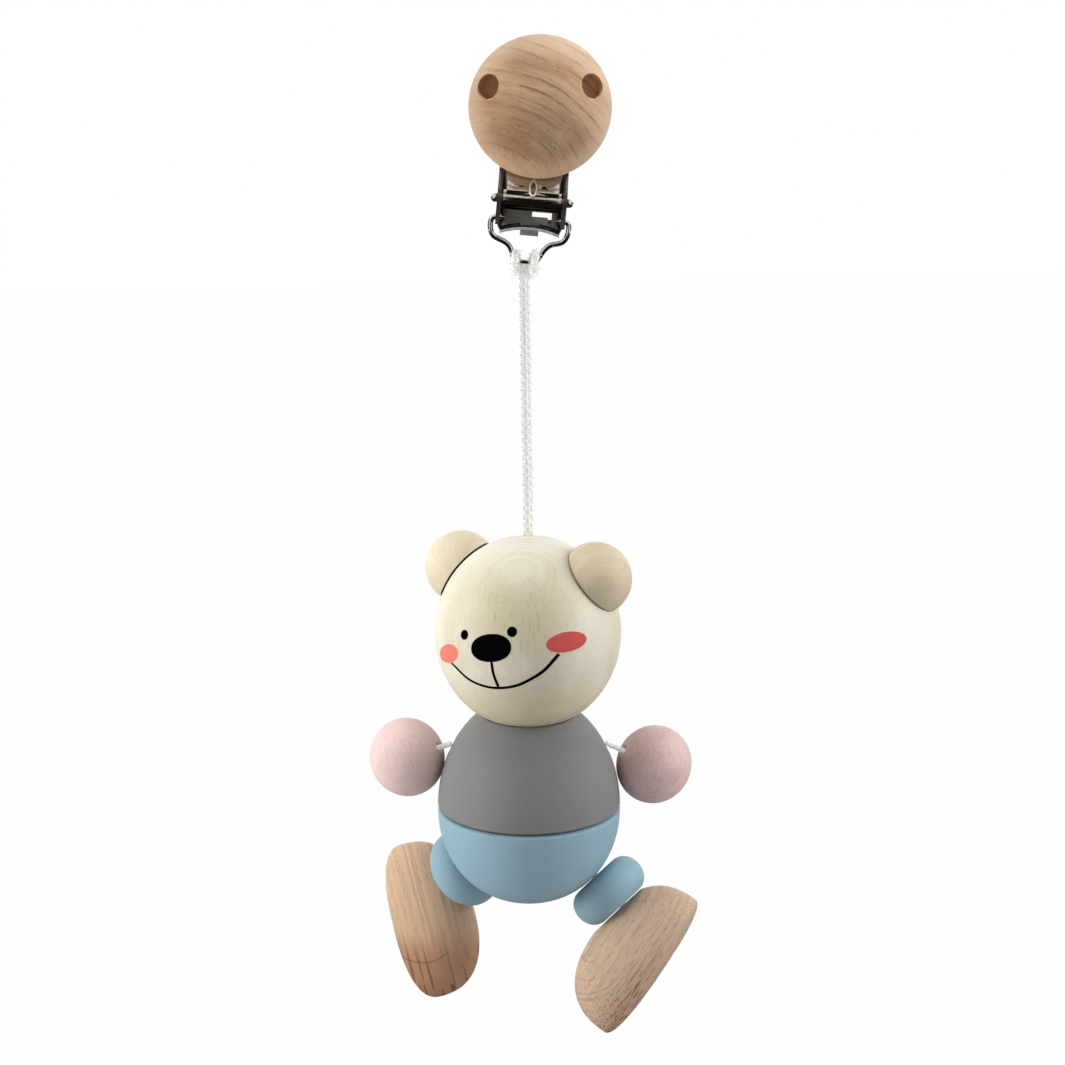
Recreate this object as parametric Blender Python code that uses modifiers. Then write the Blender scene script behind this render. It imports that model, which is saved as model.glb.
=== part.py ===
"""Wooden clip figure: a turned wooden bear that hangs by a white cord from a clip with a wooden disc.

Metres, +Z up. The world origin lies between the teeth and the pad of the clip, the place where the
clip holds on. The viewer stands on the -Y side.
"""
from math import acos, asin, atan2, cos, degrees, pi, radians, sin, sqrt

import bmesh
import bpy
from mathutils import Matrix, Vector

for old in list(bpy.data.objects):
    bpy.data.objects.remove(old, do_unlink=True)

# Clearances
SEAT_GAP = 0.0003
RUN_GAP = 0.0003

# Clip: where it holds on, seen from its pin, and how it hangs
CLIP_ROLL = 6.0
GRIP_HEIGHT = 0.0155
GRIP_DEPTH = 0.0055

# Clip: sheet, ears and pin
SHEET = 0.0009
EAR_HALF_WIDTH = 0.00725
EAR_ROUND = 0.0026
EAR_TOP = 0.0058
EAR_DROP = 0.0050
BACK_DEPTH = 0.0062
BACK_TOP = 0.0166
BACK_HALF_WIDTH = 0.0066
PIN_RADIUS = 0.0010
PIN_HEAD_RADIUS = 0.0013
PIN_HEAD_HEIGHT = 0.00105
LOOP_PIVOT_DEPTH = 0.0020
LOOP_PIVOT_DROP = 0.0041
LIP_DROP = 0.0053
LIP_ARCH = 0.00115
LIP_THICKNESS = 0.0008
LIP_FRONT = 0.0005
LIP_HALF_WIDTH = 0.0062
TOOTH_COUNT = 6
TOOTH_REACH = 0.0005
BITE_DROP = 0.0016
BITE_HEIGHT = 0.0010

# Clip: leaf of the jaw and its pad
LEAF_DEPTH = 0.0033
LEAF_SHEET = 0.0008
LEAF_HALF_WIDTH = 0.0057
LEAF_TAB_HALF_WIDTH = 0.0019
LEAF_TAB_DROP = 0.0015
PAD_THICKNESS = 0.0010
PAD_HEIGHT = 0.0055
PAD_HALF_WIDTH = 0.0052

# Clip: lever, its cam and the two screws
LEVER_SHEET = 0.0010
LEVER_HALF_WIDTH = 0.0060
LEVER_FRONT = 0.0032
LEVER_TOP = 0.0272
BARREL_RADIUS = 0.0022
CAM_RISE = 0.0008
LOBE_BOTTOM = 0.0031
RIB_HALF_WIDTH = 0.00095
RIB_TOP = 0.0045
RIB_BOTTOM = 0.0009
SCREW_HEAD_RADIUS = 0.0021
SCREW_HEAD_HEIGHT = 0.0011
SCREW_SHANK_RADIUS = 0.0009
SCREW_DEPTH = 0.0060
SCREW_SPREAD = 0.0058

# Wooden disc
DISC_RADIUS = 0.0147
DISC_HEIGHT = 0.0197
DISC_RIM = 0.0025
DISC_DOME = 0.0110
DISC_PATTERN_TURN = 5.1
EYE_SPREAD = 0.0108
EYE_RISE = 0.0045
EYE_RADIUS = 0.0026
EYE_TILT = 19.0
EYE_DEPTH = 0.0046

# Wire loop and cord
WIRE_RADIUS = 0.000575
LOOP_DROP = 0.0089
LOOP_BAR_HALF = 0.0025
CORD_RADIUS = 0.0007
CORD_SPACING = 0.00165
HITCH_TURN_SPACING = 0.0033
HITCH_CORD_RADIUS = 0.00072
HITCH_TURN_RADIUS = 0.0016
HANG_LENGTH = 0.05475
PIVOT_GAP = 0.0004

# Head
HEAD_RADIUS = 0.01955
HEAD_RISE = 0.0203
HEAD_DEPTH = 0.02075
HEAD_SEAT_RADIUS = 0.02035
HEAD_FLAT = 0.0034
CORE_BORE = 0.0021
HEAD_TILT = 10.4
HEAD_ROLL = 1.1
EAR_RADIUS = 0.0077
DOWEL_RADIUS = 0.0015
DOWEL_LENGTH = 0.0090
DOWEL_IN_HEAD = 0.0048

# Body: jacket above, trousers below
BODY_RADIUS = 0.01935
JACKET_EGG = 0.0243
JACKET_RIM = 0.0207
SEAT_BAND = 0.0018
NECK_CONE_DEPTH = 0.0120
TROUSER_DEPTH = 0.0209
TROUSER_POWER = 2.15
SEAM_CHAMFER = 0.0005
BODY_TILT = 7.3
BODY_ROLL = 0.9
END_KNOT_RADIUS = 0.0026
END_RECESS_RADIUS = 0.0034
END_RECESS_DEPTH = 0.0050

# Arms
ARM_HEIGHT = 0.0130
ARM_BACK = 0.0026
ARM_BORE = 0.0014
ARM_CORD_RADIUS = 0.0006
HAND_RADIUS = 0.0084
HAND_HALF_LENGTH = 0.0079
HAND_BORE = 0.00095
HAND_KNOT_RADIUS = 0.0014
HAND_RECESS_RADIUS = 0.0019
HAND_RECESS_DEPTH = 0.0034

# Legs
HIP_YAW = 21.5
HIP_DROP = 0.0154
HIP_BACK = 0.0040
HIP_APEX_DROP = 0.0060
HIP_BORE = 0.0013
ELASTIC_RADIUS = 0.0008
THIGH_RADIUS = 0.0086
THIGH_LENGTH = 0.0083
THIGH_BORE = 0.0012
RIGHT_THIGH_OFFSET = 0.0006
LEFT_THIGH_OFFSET = 0.0004
FOOT_HEEL = 0.0179
FOOT_TOE = 0.0163
FOOT_HALF_WIDTH = 0.0088
FOOT_HEIGHT = 0.01365
FOOT_SOLE = 0.0029
FOOT_BORE_FROM_HEEL = 0.0099
FOOT_SEAT_HEIGHT = 0.0118
FOOT_BORE_TILT = 12.5
FOOT_KNOT_RADIUS = 0.0019
FOOT_RECESS_RADIUS = 0.0024
FOOT_RECESS_DEPTH = 0.0036

# Points and directions taken from how the figure hangs
HANG_TOP_X = -0.00370
HEAD_TOP_X = -0.00392
RIGHT_HAND_REACH = (0.01056, 0.0029, -0.0060)
LEFT_HAND_REACH = (-0.00976, 0.0034, -0.0042)
RIGHT_EAR = (0.01399, -0.0074, 0.0109)
LEFT_EAR = (-0.01407, 0.0074, 0.0137)
RIGHT_LEG = (0.6646, -0.1782, -0.7255)
LEFT_LEG = (-0.67, 0.51, -0.55)
RIGHT_TOE = (-0.7475, -0.1661, -0.6439)
LEFT_TOE = (0.12, -0.19, -0.88)

PARTS = bpy.data.collections.new("wooden_clip_figure")
CUTTERS = bpy.data.collections.new("cutters")
bpy.context.scene.collection.children.link(PARTS)
bpy.context.scene.collection.children.link(CUTTERS)


# Helpers
def frame(origin, x_axis, z_axis):
    z = Vector(z_axis).normalized()
    x = Vector(x_axis)
    x = (x - z * x.dot(z)).normalized()
    y = z.cross(x)
    result = Matrix((x, y, z)).transposed().to_4x4()
    result.translation = Vector(origin)
    return result


def shifted(base, x=0.0, y=0.0, z=0.0):
    return base @ Matrix.Translation((x, y, z))


def material(name, colour, roughness, metallic=0.0):
    result = bpy.data.materials.new(name)
    result.use_nodes = True
    shader = result.node_tree.nodes["Principled BSDF"]
    shader.inputs["Base Color"].default_value = (*colour, 1.0)
    shader.inputs["Roughness"].default_value = roughness
    shader.inputs["Metallic"].default_value = metallic
    result.diffuse_color = (*colour, 1.0)
    return result


def place(name, data, at, look):
    result = bpy.data.objects.new(name, data)
    result.matrix_world = at
    if look is None:
        CUTTERS.objects.link(result)
        result.hide_render = True
        result.display_type = "WIRE"
    else:
        PARTS.objects.link(result)
        data.materials.append(material(name, *look))
    return result


def turned(name, profile, at, steps, look=None, bored=False):
    """A body turned about Z from (radius, height) points that run down its outer side."""
    mesh = bpy.data.meshes.new(name)
    count = len(profile)
    edges = [(i, i + 1) for i in range(count - 1)]
    if bored:
        edges.append((count - 1, 0))
    mesh.from_pydata([(r, 0.0, z) for r, z in profile], edges, [])
    result = place(name, mesh, at, look)
    turn = result.modifiers.new("turn", "SCREW")
    turn.axis = "Z"
    turn.angle = 2.0 * pi
    turn.steps = steps
    turn.render_steps = steps
    turn.use_merge_vertices = True
    turn.merge_threshold = 0.000002
    turn.use_smooth_shade = True
    return result


def rod(name, radius, low, high, at, steps=16, look=None):
    return turned(name, [(0.0, high), (radius, high), (radius, low), (0.0, low)], at, steps, look)


def ball(name, radius, at, steps=16, rings=8, look=None, squash=1.0):
    profile = []
    for i in range(rings + 1):
        a = pi * i / rings
        profile.append((radius * sin(a), radius * squash * cos(a)))
    profile[0] = (0.0, radius * squash)
    profile[-1] = (0.0, -radius * squash)
    return turned(name, profile, at, steps, look)


def as_mesh(source, name, at, look):
    """A curve object as a mesh in its own frame."""
    bpy.context.view_layer.update()
    graph = bpy.context.evaluated_depsgraph_get()
    mesh = bpy.data.meshes.new_from_object(source.evaluated_get(graph))
    mesh.name = name
    bpy.data.objects.remove(source, do_unlink=True)
    mesh.materials.clear()
    shape = bmesh.new()
    shape.from_mesh(mesh)
    bmesh.ops.remove_doubles(shape, verts=shape.verts, dist=0.000002)
    bmesh.ops.recalc_face_normals(shape, faces=shape.faces)
    shape.to_mesh(mesh)
    shape.free()
    return place(name, mesh, at, look)


def tube(name, points, radius, at, look, cyclic=False):
    """A round cord or wire along points in the frame."""
    curve = bpy.data.curves.new(name, "CURVE")
    curve.dimensions = "3D"
    curve.bevel_depth = radius
    curve.bevel_resolution = 2
    curve.use_fill_caps = True
    curve.resolution_u = 1
    spline = curve.splines.new("POLY")
    spline.points.add(len(points) - 1)
    for point, where in zip(spline.points, points):
        point.co = (*where, 1.0)
    spline.use_cyclic_u = cyclic
    spline.use_smooth = True
    return place(name, curve, at, look)


def tube_mesh(name, points, radius, at, look=None, cyclic=False):
    return as_mesh(tube(name, points, radius, at, None, cyclic), name, at, look)


def plate(name, outlines, thickness, at, look=None):
    """A flat plate about the XY plane of the frame, with any further outlines as holes."""
    curve = bpy.data.curves.new(name, "CURVE")
    curve.dimensions = "2D"
    curve.fill_mode = "BOTH"
    curve.extrude = thickness / 2.0
    curve.resolution_u = 1
    for outline in outlines:
        spline = curve.splines.new("POLY")
        spline.points.add(len(outline) - 1)
        for point, (x, y) in zip(spline.points, outline):
            point.co = (x, y, 0.0, 1.0)
        spline.use_cyclic_u = True
    return as_mesh(place(name, curve, at, None), name, at, look)


def block(name, low, high, at, look=None):
    mesh = bpy.data.meshes.new(name)
    shape = bmesh.new()
    bmesh.ops.create_cube(shape, size=1.0)
    size = Vector(high) - Vector(low)
    middle = (Vector(high) + Vector(low)) / 2.0
    bmesh.ops.scale(shape, vec=size, verts=shape.verts)
    bmesh.ops.translate(shape, vec=middle, verts=shape.verts)
    shape.to_mesh(mesh)
    shape.free()
    return place(name, mesh, at, look)


def join(target, other, operation):
    step = target.modifiers.new(other.name, "BOOLEAN")
    step.operation = operation
    step.solver = "EXACT"
    step.object = other


def cut(target, *cutters):
    for other in cutters:
        join(target, other, "DIFFERENCE")


def unite(target, *others):
    for other in others:
        join(target, other, "UNION")


def arc(cx, cy, radius, start, end, count):
    step = (end - start) / (count - 1)
    return [(cx + radius * cos(radians(start + step * i)), cy + radius * sin(radians(start + step * i)))
            for i in range(count)]


def smooth_path(points, per_span):
    """Points along a smooth curve through the given ones."""
    pts = [Vector(p) for p in points]
    pts = [pts[0] * 2.0 - pts[1]] + pts + [pts[-1] * 2.0 - pts[-2]]
    result = []
    for i in range(1, len(pts) - 2):
        p0, p1, p2, p3 = pts[i - 1:i + 3]
        for k in range(per_span):
            t = k / per_span
            result.append(0.5 * (2.0 * p1 + (p2 - p0) * t + (2.0 * p0 - 5.0 * p1 + 4.0 * p2 - p3) * t * t
                                 + (3.0 * p1 - p0 - 3.0 * p2 + p3) * t * t * t))
    result.append(pts[-2])
    return result


def straight(start, end, count=6):
    a = Vector(start)
    b = Vector(end)
    return [a.lerp(b, i / (count - 1)) for i in range(count)]


# Looks: colour, roughness, metallic
STEEL = ((0.42, 0.41, 0.40), 0.22, 1.0)
DARK_STEEL = ((0.30, 0.28, 0.26), 0.25, 1.0)
BEECH = ((0.62, 0.40, 0.22), 0.5, 0.0)
PALE_WOOD = ((0.80, 0.68, 0.50), 0.35, 0.0)
GREY_PAINT = ((0.22, 0.23, 0.24), 0.6, 0.0)
BLUE_PAINT = ((0.30, 0.42, 0.55), 0.55, 0.0)
PINK_PAINT = ((0.45, 0.25, 0.25), 0.6, 0.0)
WHITE_CORD = ((0.85, 0.85, 0.83), 0.9, 0.0)
WHITE_PLASTIC = ((0.75, 0.75, 0.75), 0.4, 0.0)

# Frames of the clip
ROLL = radians(CLIP_ROLL)
CLIP_X = Vector((cos(ROLL), 0.0, -sin(ROLL)))
CLIP_Y = Vector((0.0, 1.0, 0.0))
CLIP_Z = Vector((sin(ROLL), 0.0, cos(ROLL)))
PIN = -(CLIP_Y * GRIP_DEPTH + CLIP_Z * GRIP_HEIGHT)
CLIP = frame(PIN, CLIP_X, CLIP_Z)
SIDE = frame(PIN, CLIP_Y, CLIP_X)
FRONT = frame(PIN, CLIP_X, -CLIP_Y)
LOOP_PIVOT = CLIP @ Vector((0.0, LOOP_PIVOT_DEPTH, -LOOP_PIVOT_DROP))
LOOP = frame(LOOP_PIVOT, CLIP_X, CLIP_Z)
BAR = CLIP @ Vector((0.0, LOOP_PIVOT_DEPTH, -LOOP_PIVOT_DROP - LOOP_DROP))

# Base plate: back, two ears, arched lip, teeth
EAR_INNER = EAR_HALF_WIDTH - SHEET
PIN_HOLE = PIN_RADIUS + RUN_GAP
LOOP_HOLE = WIRE_RADIUS + RUN_GAP


def lip_height(x):
    return -LIP_DROP - LIP_ARCH * (x / LIP_HALF_WIDTH) ** 2


def lip_line(half_width, lower, count=9):
    return [(half_width * (2.0 * i / (count - 1) - 1.0),
             lip_height(half_width * (2.0 * i / (count - 1) - 1.0)) - lower) for i in range(count)]


back_bottom = lip_line(LIP_HALF_WIDTH, LIP_THICKNESS)
back_outline = back_bottom + [(EAR_HALF_WIDTH, -EAR_DROP), (EAR_HALF_WIDTH, EAR_TOP)]
back_outline += [(BACK_HALF_WIDTH, EAR_TOP + 0.0015)]
tooth_pitch = 2.0 * BACK_HALF_WIDTH / TOOTH_COUNT
for i in range(TOOTH_COUNT):
    right = BACK_HALF_WIDTH - tooth_pitch * i
    back_outline += [(right - 0.15 * tooth_pitch, BACK_TOP - 0.0008), (right - 0.5 * tooth_pitch, BACK_TOP)]
    back_outline += [(right - 0.85 * tooth_pitch, BACK_TOP - 0.0008)]
back_outline += [(-BACK_HALF_WIDTH, EAR_TOP + 0.0015), (-EAR_HALF_WIDTH, EAR_TOP), (-EAR_HALF_WIDTH, -EAR_DROP)]
window = [(-0.0046, -0.0042), (0.0046, -0.0042), (0.0046, -0.0020), (-0.0046, -0.0020)]
back_at = shifted(FRONT, z=-BACK_DEPTH - SHEET / 2.0)
base_plate = plate("base_plate", [back_outline, window], SHEET, back_at, STEEL)

ear_outline = arc(0.0, 0.0, EAR_ROUND, 80.0, 218.0, 9)
ear_outline += arc(LOOP_PIVOT_DEPTH, -LOOP_PIVOT_DROP, 0.00155, 205.0, 270.0, 4)
ear_outline += [(BACK_DEPTH + SHEET / 2.0, -0.00565), (BACK_DEPTH + SHEET / 2.0, EAR_TOP - 0.0004)]
ear_outline += [(BACK_DEPTH - 0.0012, EAR_TOP - 0.0008)]
for side, x in (("left", -1.0), ("right", 1.0)):
    ear_at = shifted(SIDE, z=x * (EAR_HALF_WIDTH - SHEET / 2.0))
    ear_plate = plate("ear_plate_" + side, [ear_outline], SHEET - 0.00002, ear_at)
    unite(base_plate, ear_plate)
    hole = rod("pin_hole_" + side, PIN_HOLE, -SHEET, SHEET, ear_at, 16)
    cut(base_plate, hole)
    hole = rod("loop_hole_" + side, LOOP_HOLE, -SHEET, SHEET, shifted(ear_at, LOOP_PIVOT_DEPTH, -LOOP_PIVOT_DROP), 12)
    cut(base_plate, hole)

lip_outline = lip_line(LIP_HALF_WIDTH - 0.00001, LIP_THICKNESS - 0.00001)
lip_outline += list(reversed(lip_line(LIP_HALF_WIDTH - 0.00001, 0.0)))
lip_depth = BACK_DEPTH + SHEET / 2.0 + LIP_FRONT
lip_at = shifted(FRONT, z=LIP_FRONT - lip_depth / 2.0)
unite(base_plate, plate("lip", [lip_outline], lip_depth, lip_at))
slot_low = (-LEAF_TAB_HALF_WIDTH - RUN_GAP, LEAF_DEPTH - RUN_GAP, -0.0090)
slot_high = (LEAF_TAB_HALF_WIDTH + RUN_GAP, LEAF_DEPTH + LEAF_SHEET + RUN_GAP, -0.0045)
cut(base_plate, block("tab_slot", slot_low, slot_high, CLIP))

bite = block("bite", (-BACK_HALF_WIDTH + 0.0006, BACK_DEPTH - TOOTH_REACH, BACK_TOP - BITE_DROP - BITE_HEIGHT),
             (BACK_HALF_WIDTH - 0.0006, BACK_DEPTH + SHEET / 2.0, BACK_TOP - BITE_DROP), CLIP)
unite(base_plate, bite)

# Pin with a domed head at each end
head_inner = EAR_HALF_WIDTH + RUN_GAP
pin_profile = []
for i in range(5):
    a = radians(90.0 * i / 4.0)
    pin_profile.append((PIN_HEAD_RADIUS * sin(a), head_inner + PIN_HEAD_HEIGHT * cos(a)))
pin_profile[0] = (0.0, head_inner + PIN_HEAD_HEIGHT)
pin_profile.append((PIN_RADIUS, head_inner))
pin_profile += [(r, -z) for r, z in reversed(pin_profile)]
hinge_pin = turned("hinge_pin", pin_profile, frame(PIN, CLIP_Y, CLIP_X), 16, STEEL)

# Lever: plate behind the disc, neck, barrel with its cam
lever_outline = [(-LEVER_HALF_WIDTH, LEVER_TOP - 0.0060)]
lever_outline += arc(-0.0029, LOBE_BOTTOM + 0.0030, 0.0030, 195.0, 330.0, 8)
lever_outline += arc(0.0029, LOBE_BOTTOM + 0.0030, 0.0030, 210.0, 345.0, 8)
lever_outline += [(LEVER_HALF_WIDTH, LEVER_TOP - 0.0060)]
lever_outline += arc(0.0, LEVER_TOP - 0.0060, 0.0060, 20.0, 160.0, 8)
lever_at = shifted(FRONT, z=LEVER_FRONT - LEVER_SHEET / 2.0)
lever_plate = plate("lever_plate", [lever_outline], LEVER_SHEET, lever_at, DARK_STEEL)
barrel_half = EAR_INNER - 0.00035
cam = []
for i in range(28):
    a = 2.0 * pi * i / 28
    turn = min(abs(degrees(atan2(sin(a), cos(a)))), 100.0)
    reach = BARREL_RADIUS + CAM_RISE * (1.0 + cos(radians(turn * 1.8))) / 2.0
    cam.append((reach * cos(a), reach * sin(a)))
unite(lever_plate, plate("barrel", [cam], 2.0 * barrel_half, SIDE))
neck_outline = [(-LEVER_FRONT + 0.0001, LOBE_BOTTOM + 0.0012), (-LEVER_FRONT + 0.0004, LOBE_BOTTOM - 0.0011)]
neck_outline += [(-0.0018, 0.0008), (-0.0006, 0.0019), (-0.0013, 0.0032), (-LEVER_FRONT + 0.0012, LOBE_BOTTOM + 0.0030)]
unite(lever_plate, plate("neck", [neck_outline], 2.0 * LEVER_HALF_WIDTH - 0.0012, SIDE))
rib_middle = (RIB_TOP + RIB_BOTTOM) / 2.0
rib_at = CLIP @ Matrix.Translation((0.0, -LEVER_FRONT + 0.0003, rib_middle))
rib_at = rib_at @ Matrix.Diagonal((RIB_HALF_WIDTH, 0.0008, (RIB_TOP - RIB_BOTTOM) / 2.0, 1.0))
unite(lever_plate, ball("rib", 1.0, rib_at, 10, 6))
cut(lever_plate, rod("lever_bore", PIN_RADIUS + RUN_GAP, -EAR_HALF_WIDTH, EAR_HALF_WIDTH, frame(PIN, CLIP_Y, CLIP_X), 16))

# Disc with two slanted holes, and the two screws that hold it on the lever
dome_radius = (DISC_RADIUS ** 2 + DISC_DOME ** 2) / (2.0 * DISC_DOME)
dome_centre = DISC_RIM + DISC_DOME - dome_radius
dome_span = asin(DISC_RADIUS / dome_radius)
disc_profile = []
for i in range(9):
    a = dome_span * i / 8.0
    disc_profile.append((dome_radius * sin(a), dome_centre + dome_radius * cos(a)))
disc_profile[0] = (0.0, DISC_RIM + DISC_DOME)
disc_profile += [(DISC_RADIUS, 0.0004), (DISC_RADIUS - 0.0004, 0.0), (0.0, 0.0)]
disc_back = LEVER_FRONT + SEAT_GAP
disc_at = shifted(FRONT, y=DISC_HEIGHT, z=disc_back)
wooden_disc = turned("wooden_disc", disc_profile, disc_at, 36, BEECH)
pattern = disc_at @ Matrix.Rotation(radians(DISC_PATTERN_TURN), 4, "Z")
for side, x in (("left", -1.0), ("right", 1.0)):
    across = Vector((x * EYE_SPREAD, EYE_RISE, 0.0))
    height = dome_centre + sqrt(dome_radius ** 2 - across.length ** 2)
    mouth = pattern @ Vector((across.x, across.y, height))
    outward = across.normalized() * sin(radians(EYE_TILT)) + Vector((0.0, 0.0, cos(radians(EYE_TILT))))
    eye_at = frame(mouth, CLIP_X, (pattern.to_3x3() @ outward))
    cut(wooden_disc, rod("disc_hole_" + side, EYE_RADIUS, -EYE_DEPTH, 0.0060, eye_at, 20))
for side, z in (("lower", -1.0), ("upper", 1.0)):
    screw_at = shifted(FRONT, y=DISC_HEIGHT - 0.0006 + z * SCREW_SPREAD, z=disc_back)
    cut(wooden_disc, rod("pilot_" + side, SCREW_SHANK_RADIUS + RUN_GAP, -0.0010, SCREW_DEPTH + RUN_GAP, screw_at, 12))
    cut(lever_plate, rod("lever_hole_" + side, SCREW_SHANK_RADIUS + RUN_GAP, -0.0030, 0.0010, screw_at, 12))
    seat = -SEAT_GAP - LEVER_SHEET - SEAT_GAP
    screw_profile = [(0.0, SCREW_DEPTH), (SCREW_SHANK_RADIUS, SCREW_DEPTH - 0.0012), (SCREW_SHANK_RADIUS, seat)]
    screw_profile += [(SCREW_HEAD_RADIUS, seat), (SCREW_HEAD_RADIUS, seat - 0.4 * SCREW_HEAD_HEIGHT)]
    screw_profile += [(0.6 * SCREW_HEAD_RADIUS, seat - SCREW_HEAD_HEIGHT), (0.0, seat - SCREW_HEAD_HEIGHT)]
    turned("disc_screw_" + side, screw_profile, screw_at, 16, STEEL)

# Leaf of the jaw: hinged on its tab in the slot of the lip
leaf_outline = [(-0.0059, lip_height(0.0059) + 0.0004), (-0.0040, lip_height(0.0040) + 0.0004)]
leaf_outline += [(-LEAF_TAB_HALF_WIDTH, lip_height(LEAF_TAB_HALF_WIDTH) + 0.0004)]
leaf_outline += [(-LEAF_TAB_HALF_WIDTH, -LIP_DROP - LIP_THICKNESS - LEAF_TAB_DROP)]
leaf_outline += [(LEAF_TAB_HALF_WIDTH, -LIP_DROP - LIP_THICKNESS - LEAF_TAB_DROP)]
leaf_outline += [(LEAF_TAB_HALF_WIDTH, lip_height(LEAF_TAB_HALF_WIDTH) + 0.0004)]
leaf_outline += [(0.0040, lip_height(0.0040) + 0.0004), (0.0059, lip_height(0.0059) + 0.0004)]
leaf_outline += [(0.0049, -0.0015), (LEAF_HALF_WIDTH, 0.0010), (LEAF_HALF_WIDTH, GRIP_HEIGHT - 0.0010)]
leaf_outline += [(LEAF_HALF_WIDTH - 0.0010, GRIP_HEIGHT + 0.0010), (-LEAF_HALF_WIDTH + 0.0010, GRIP_HEIGHT + 0.0010)]
leaf_outline += [(-LEAF_HALF_WIDTH, GRIP_HEIGHT - 0.0010), (-LEAF_HALF_WIDTH, 0.0010), (-0.0049, -0.0015)]
leaf_window = [(0.0003, -0.0036), (0.0036, -0.0036), (0.0036, -0.0050), (0.0044, -0.0050), (0.0044, -0.0026)]
leaf_window += [(0.0003, -0.0026)]
leaf_at = shifted(FRONT, z=-LEAF_DEPTH - LEAF_SHEET / 2.0)
jaw_leaf = plate("jaw_leaf", [leaf_outline, leaf_window], LEAF_SHEET, leaf_at, STEEL)
pad_front = LEAF_DEPTH + LEAF_SHEET + SEAT_GAP
pad_profile = [(pad_front, GRIP_HEIGHT + 0.0010), (pad_front, GRIP_HEIGHT + 0.0010 - PAD_HEIGHT)]
pad_teeth = 5
for i in range(pad_teeth):
    base = GRIP_HEIGHT + 0.0010 - PAD_HEIGHT + PAD_HEIGHT * i / pad_teeth
    pad_profile.append((pad_front + 0.55 * PAD_THICKNESS, base))
    pad_profile.append((pad_front + PAD_THICKNESS, base + 0.5 * PAD_HEIGHT / pad_teeth))
pad_profile.append((pad_front + 0.55 * PAD_THICKNESS, GRIP_HEIGHT + 0.0010))
plate("grip_pad", [pad_profile], 2.0 * PAD_HALF_WIDTH, SIDE, WHITE_PLASTIC)

# Wire loop that swings in the ears
loop_half = [(0.0054, 0.0, 0.0), (0.0068, 0.0, 0.0), (0.0076, 0.0, -0.0002), (0.0081, 0.0, -0.0012)]
loop_half += [(0.0081, 0.0, -0.0026), (0.0076, 0.0, -0.0037), (0.0064, 0.0, -0.0048), (0.0047, 0.0, -0.0052)]
loop_half += [(0.0036, 0.0, -0.0060), (0.00335, 0.0, -0.0076), (0.0031, 0.0, -0.0085)]
loop_half += [(LOOP_BAR_HALF, 0.0, -LOOP_DROP)]
right_side = smooth_path(loop_half, 2)
left_side = [Vector((-p.x, p.y, p.z)) for p in reversed(right_side)]
tube("wire_loop", right_side + left_side, WIRE_RADIUS, LOOP, STEEL)

# Hitch: two turns round the bar and the bight behind them
hitch_at = frame(BAR, CLIP_X, CLIP_Z)
turn_x = HITCH_TURN_SPACING / 2.0
ring_points = [(turn_x, HITCH_TURN_RADIUS * cos(2.0 * pi * i / 12), HITCH_TURN_RADIUS * sin(2.0 * pi * i / 12))
               for i in range(12)]
cord_hitch = tube_mesh("cord_hitch", ring_points, HITCH_CORD_RADIUS, hitch_at, WHITE_CORD, True)
other_turn = [(-x, y, z) for x, y, z in ring_points]
unite(cord_hitch, tube_mesh("second_turn", other_turn, HITCH_CORD_RADIUS, hitch_at, None, True))
bight_half = [(turn_x, 0.0014, 0.0007), (turn_x - 0.0002, 0.0019, 0.0), (0.0007, 0.0020, -0.0012), (0.0, 0.0020, -0.0013)]
bight = smooth_path(bight_half, 2)
bight += [Vector((-p.x, p.y, p.z)) for p in reversed(bight[:-1])]
unite(cord_hitch, tube_mesh("bight", bight, HITCH_CORD_RADIUS, hitch_at))

# Hanging cord: two strands from the hitch to the head
HANG_TOP = Vector((HANG_TOP_X, BAR.y, BAR.z - HITCH_TURN_RADIUS - HITCH_CORD_RADIUS - 0.00055))
HEAD_TOP = Vector((HEAD_TOP_X, BAR.y, HANG_TOP.z - HANG_LENGTH))
HANG = frame(HANG_TOP, (1.0, 0.0, 0.0), HANG_TOP - HEAD_TOP)
hang_end = (HANG_TOP - HEAD_TOP).length
for side, x in (("left", -0.5), ("right", 0.5)):
    line = straight((x * CORD_SPACING, 0.0, -PIVOT_GAP), (x * CORD_SPACING, 0.0, -hang_end + PIVOT_GAP), 14)
    tube("hanging_strand_" + side, line, CORD_RADIUS, HANG, WHITE_CORD)

# Head: a turned ball, bored through, with its cord
HEAD_Z = Vector((sin(radians(HEAD_ROLL)), sin(radians(HEAD_TILT)), cos(radians(HEAD_TILT)))).normalized()
head_rise = HEAD_RISE * sqrt(1.0 - (HEAD_FLAT / HEAD_RADIUS) ** 2)
HEAD = frame(HEAD_TOP - HEAD_Z * head_rise, (1.0, 0.0, 0.0), HEAD_Z)
head_profile = [(CORE_BORE + 0.0003, head_rise), (HEAD_FLAT, head_rise)]
flat_angle = asin(HEAD_FLAT / HEAD_RADIUS)
for i in range(1, 7):
    a = flat_angle + (pi / 2.0 - flat_angle) * i / 6.0
    head_profile.append((HEAD_RADIUS * sin(a), HEAD_RISE * cos(a)))
lower_flat = asin(HEAD_FLAT / HEAD_SEAT_RADIUS)
for i in range(1, 8):
    a = pi / 2.0 - (pi / 2.0 - lower_flat) * i / 7.0
    reach = min(HEAD_SEAT_RADIUS, 1.0 / sqrt((sin(a) / HEAD_RADIUS) ** 2 + (cos(a) / HEAD_DEPTH) ** 2))
    head_profile.append((reach * sin(a), -reach * cos(a)))
head_drop = -head_profile[-1][1]
head_profile += [(CORE_BORE + 0.0003, -head_drop), (CORE_BORE, -head_drop + 0.0006), (CORE_BORE, head_rise - 0.0006)]
head = turned("head", head_profile, HEAD, 32, PALE_WOOD, True)
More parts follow.
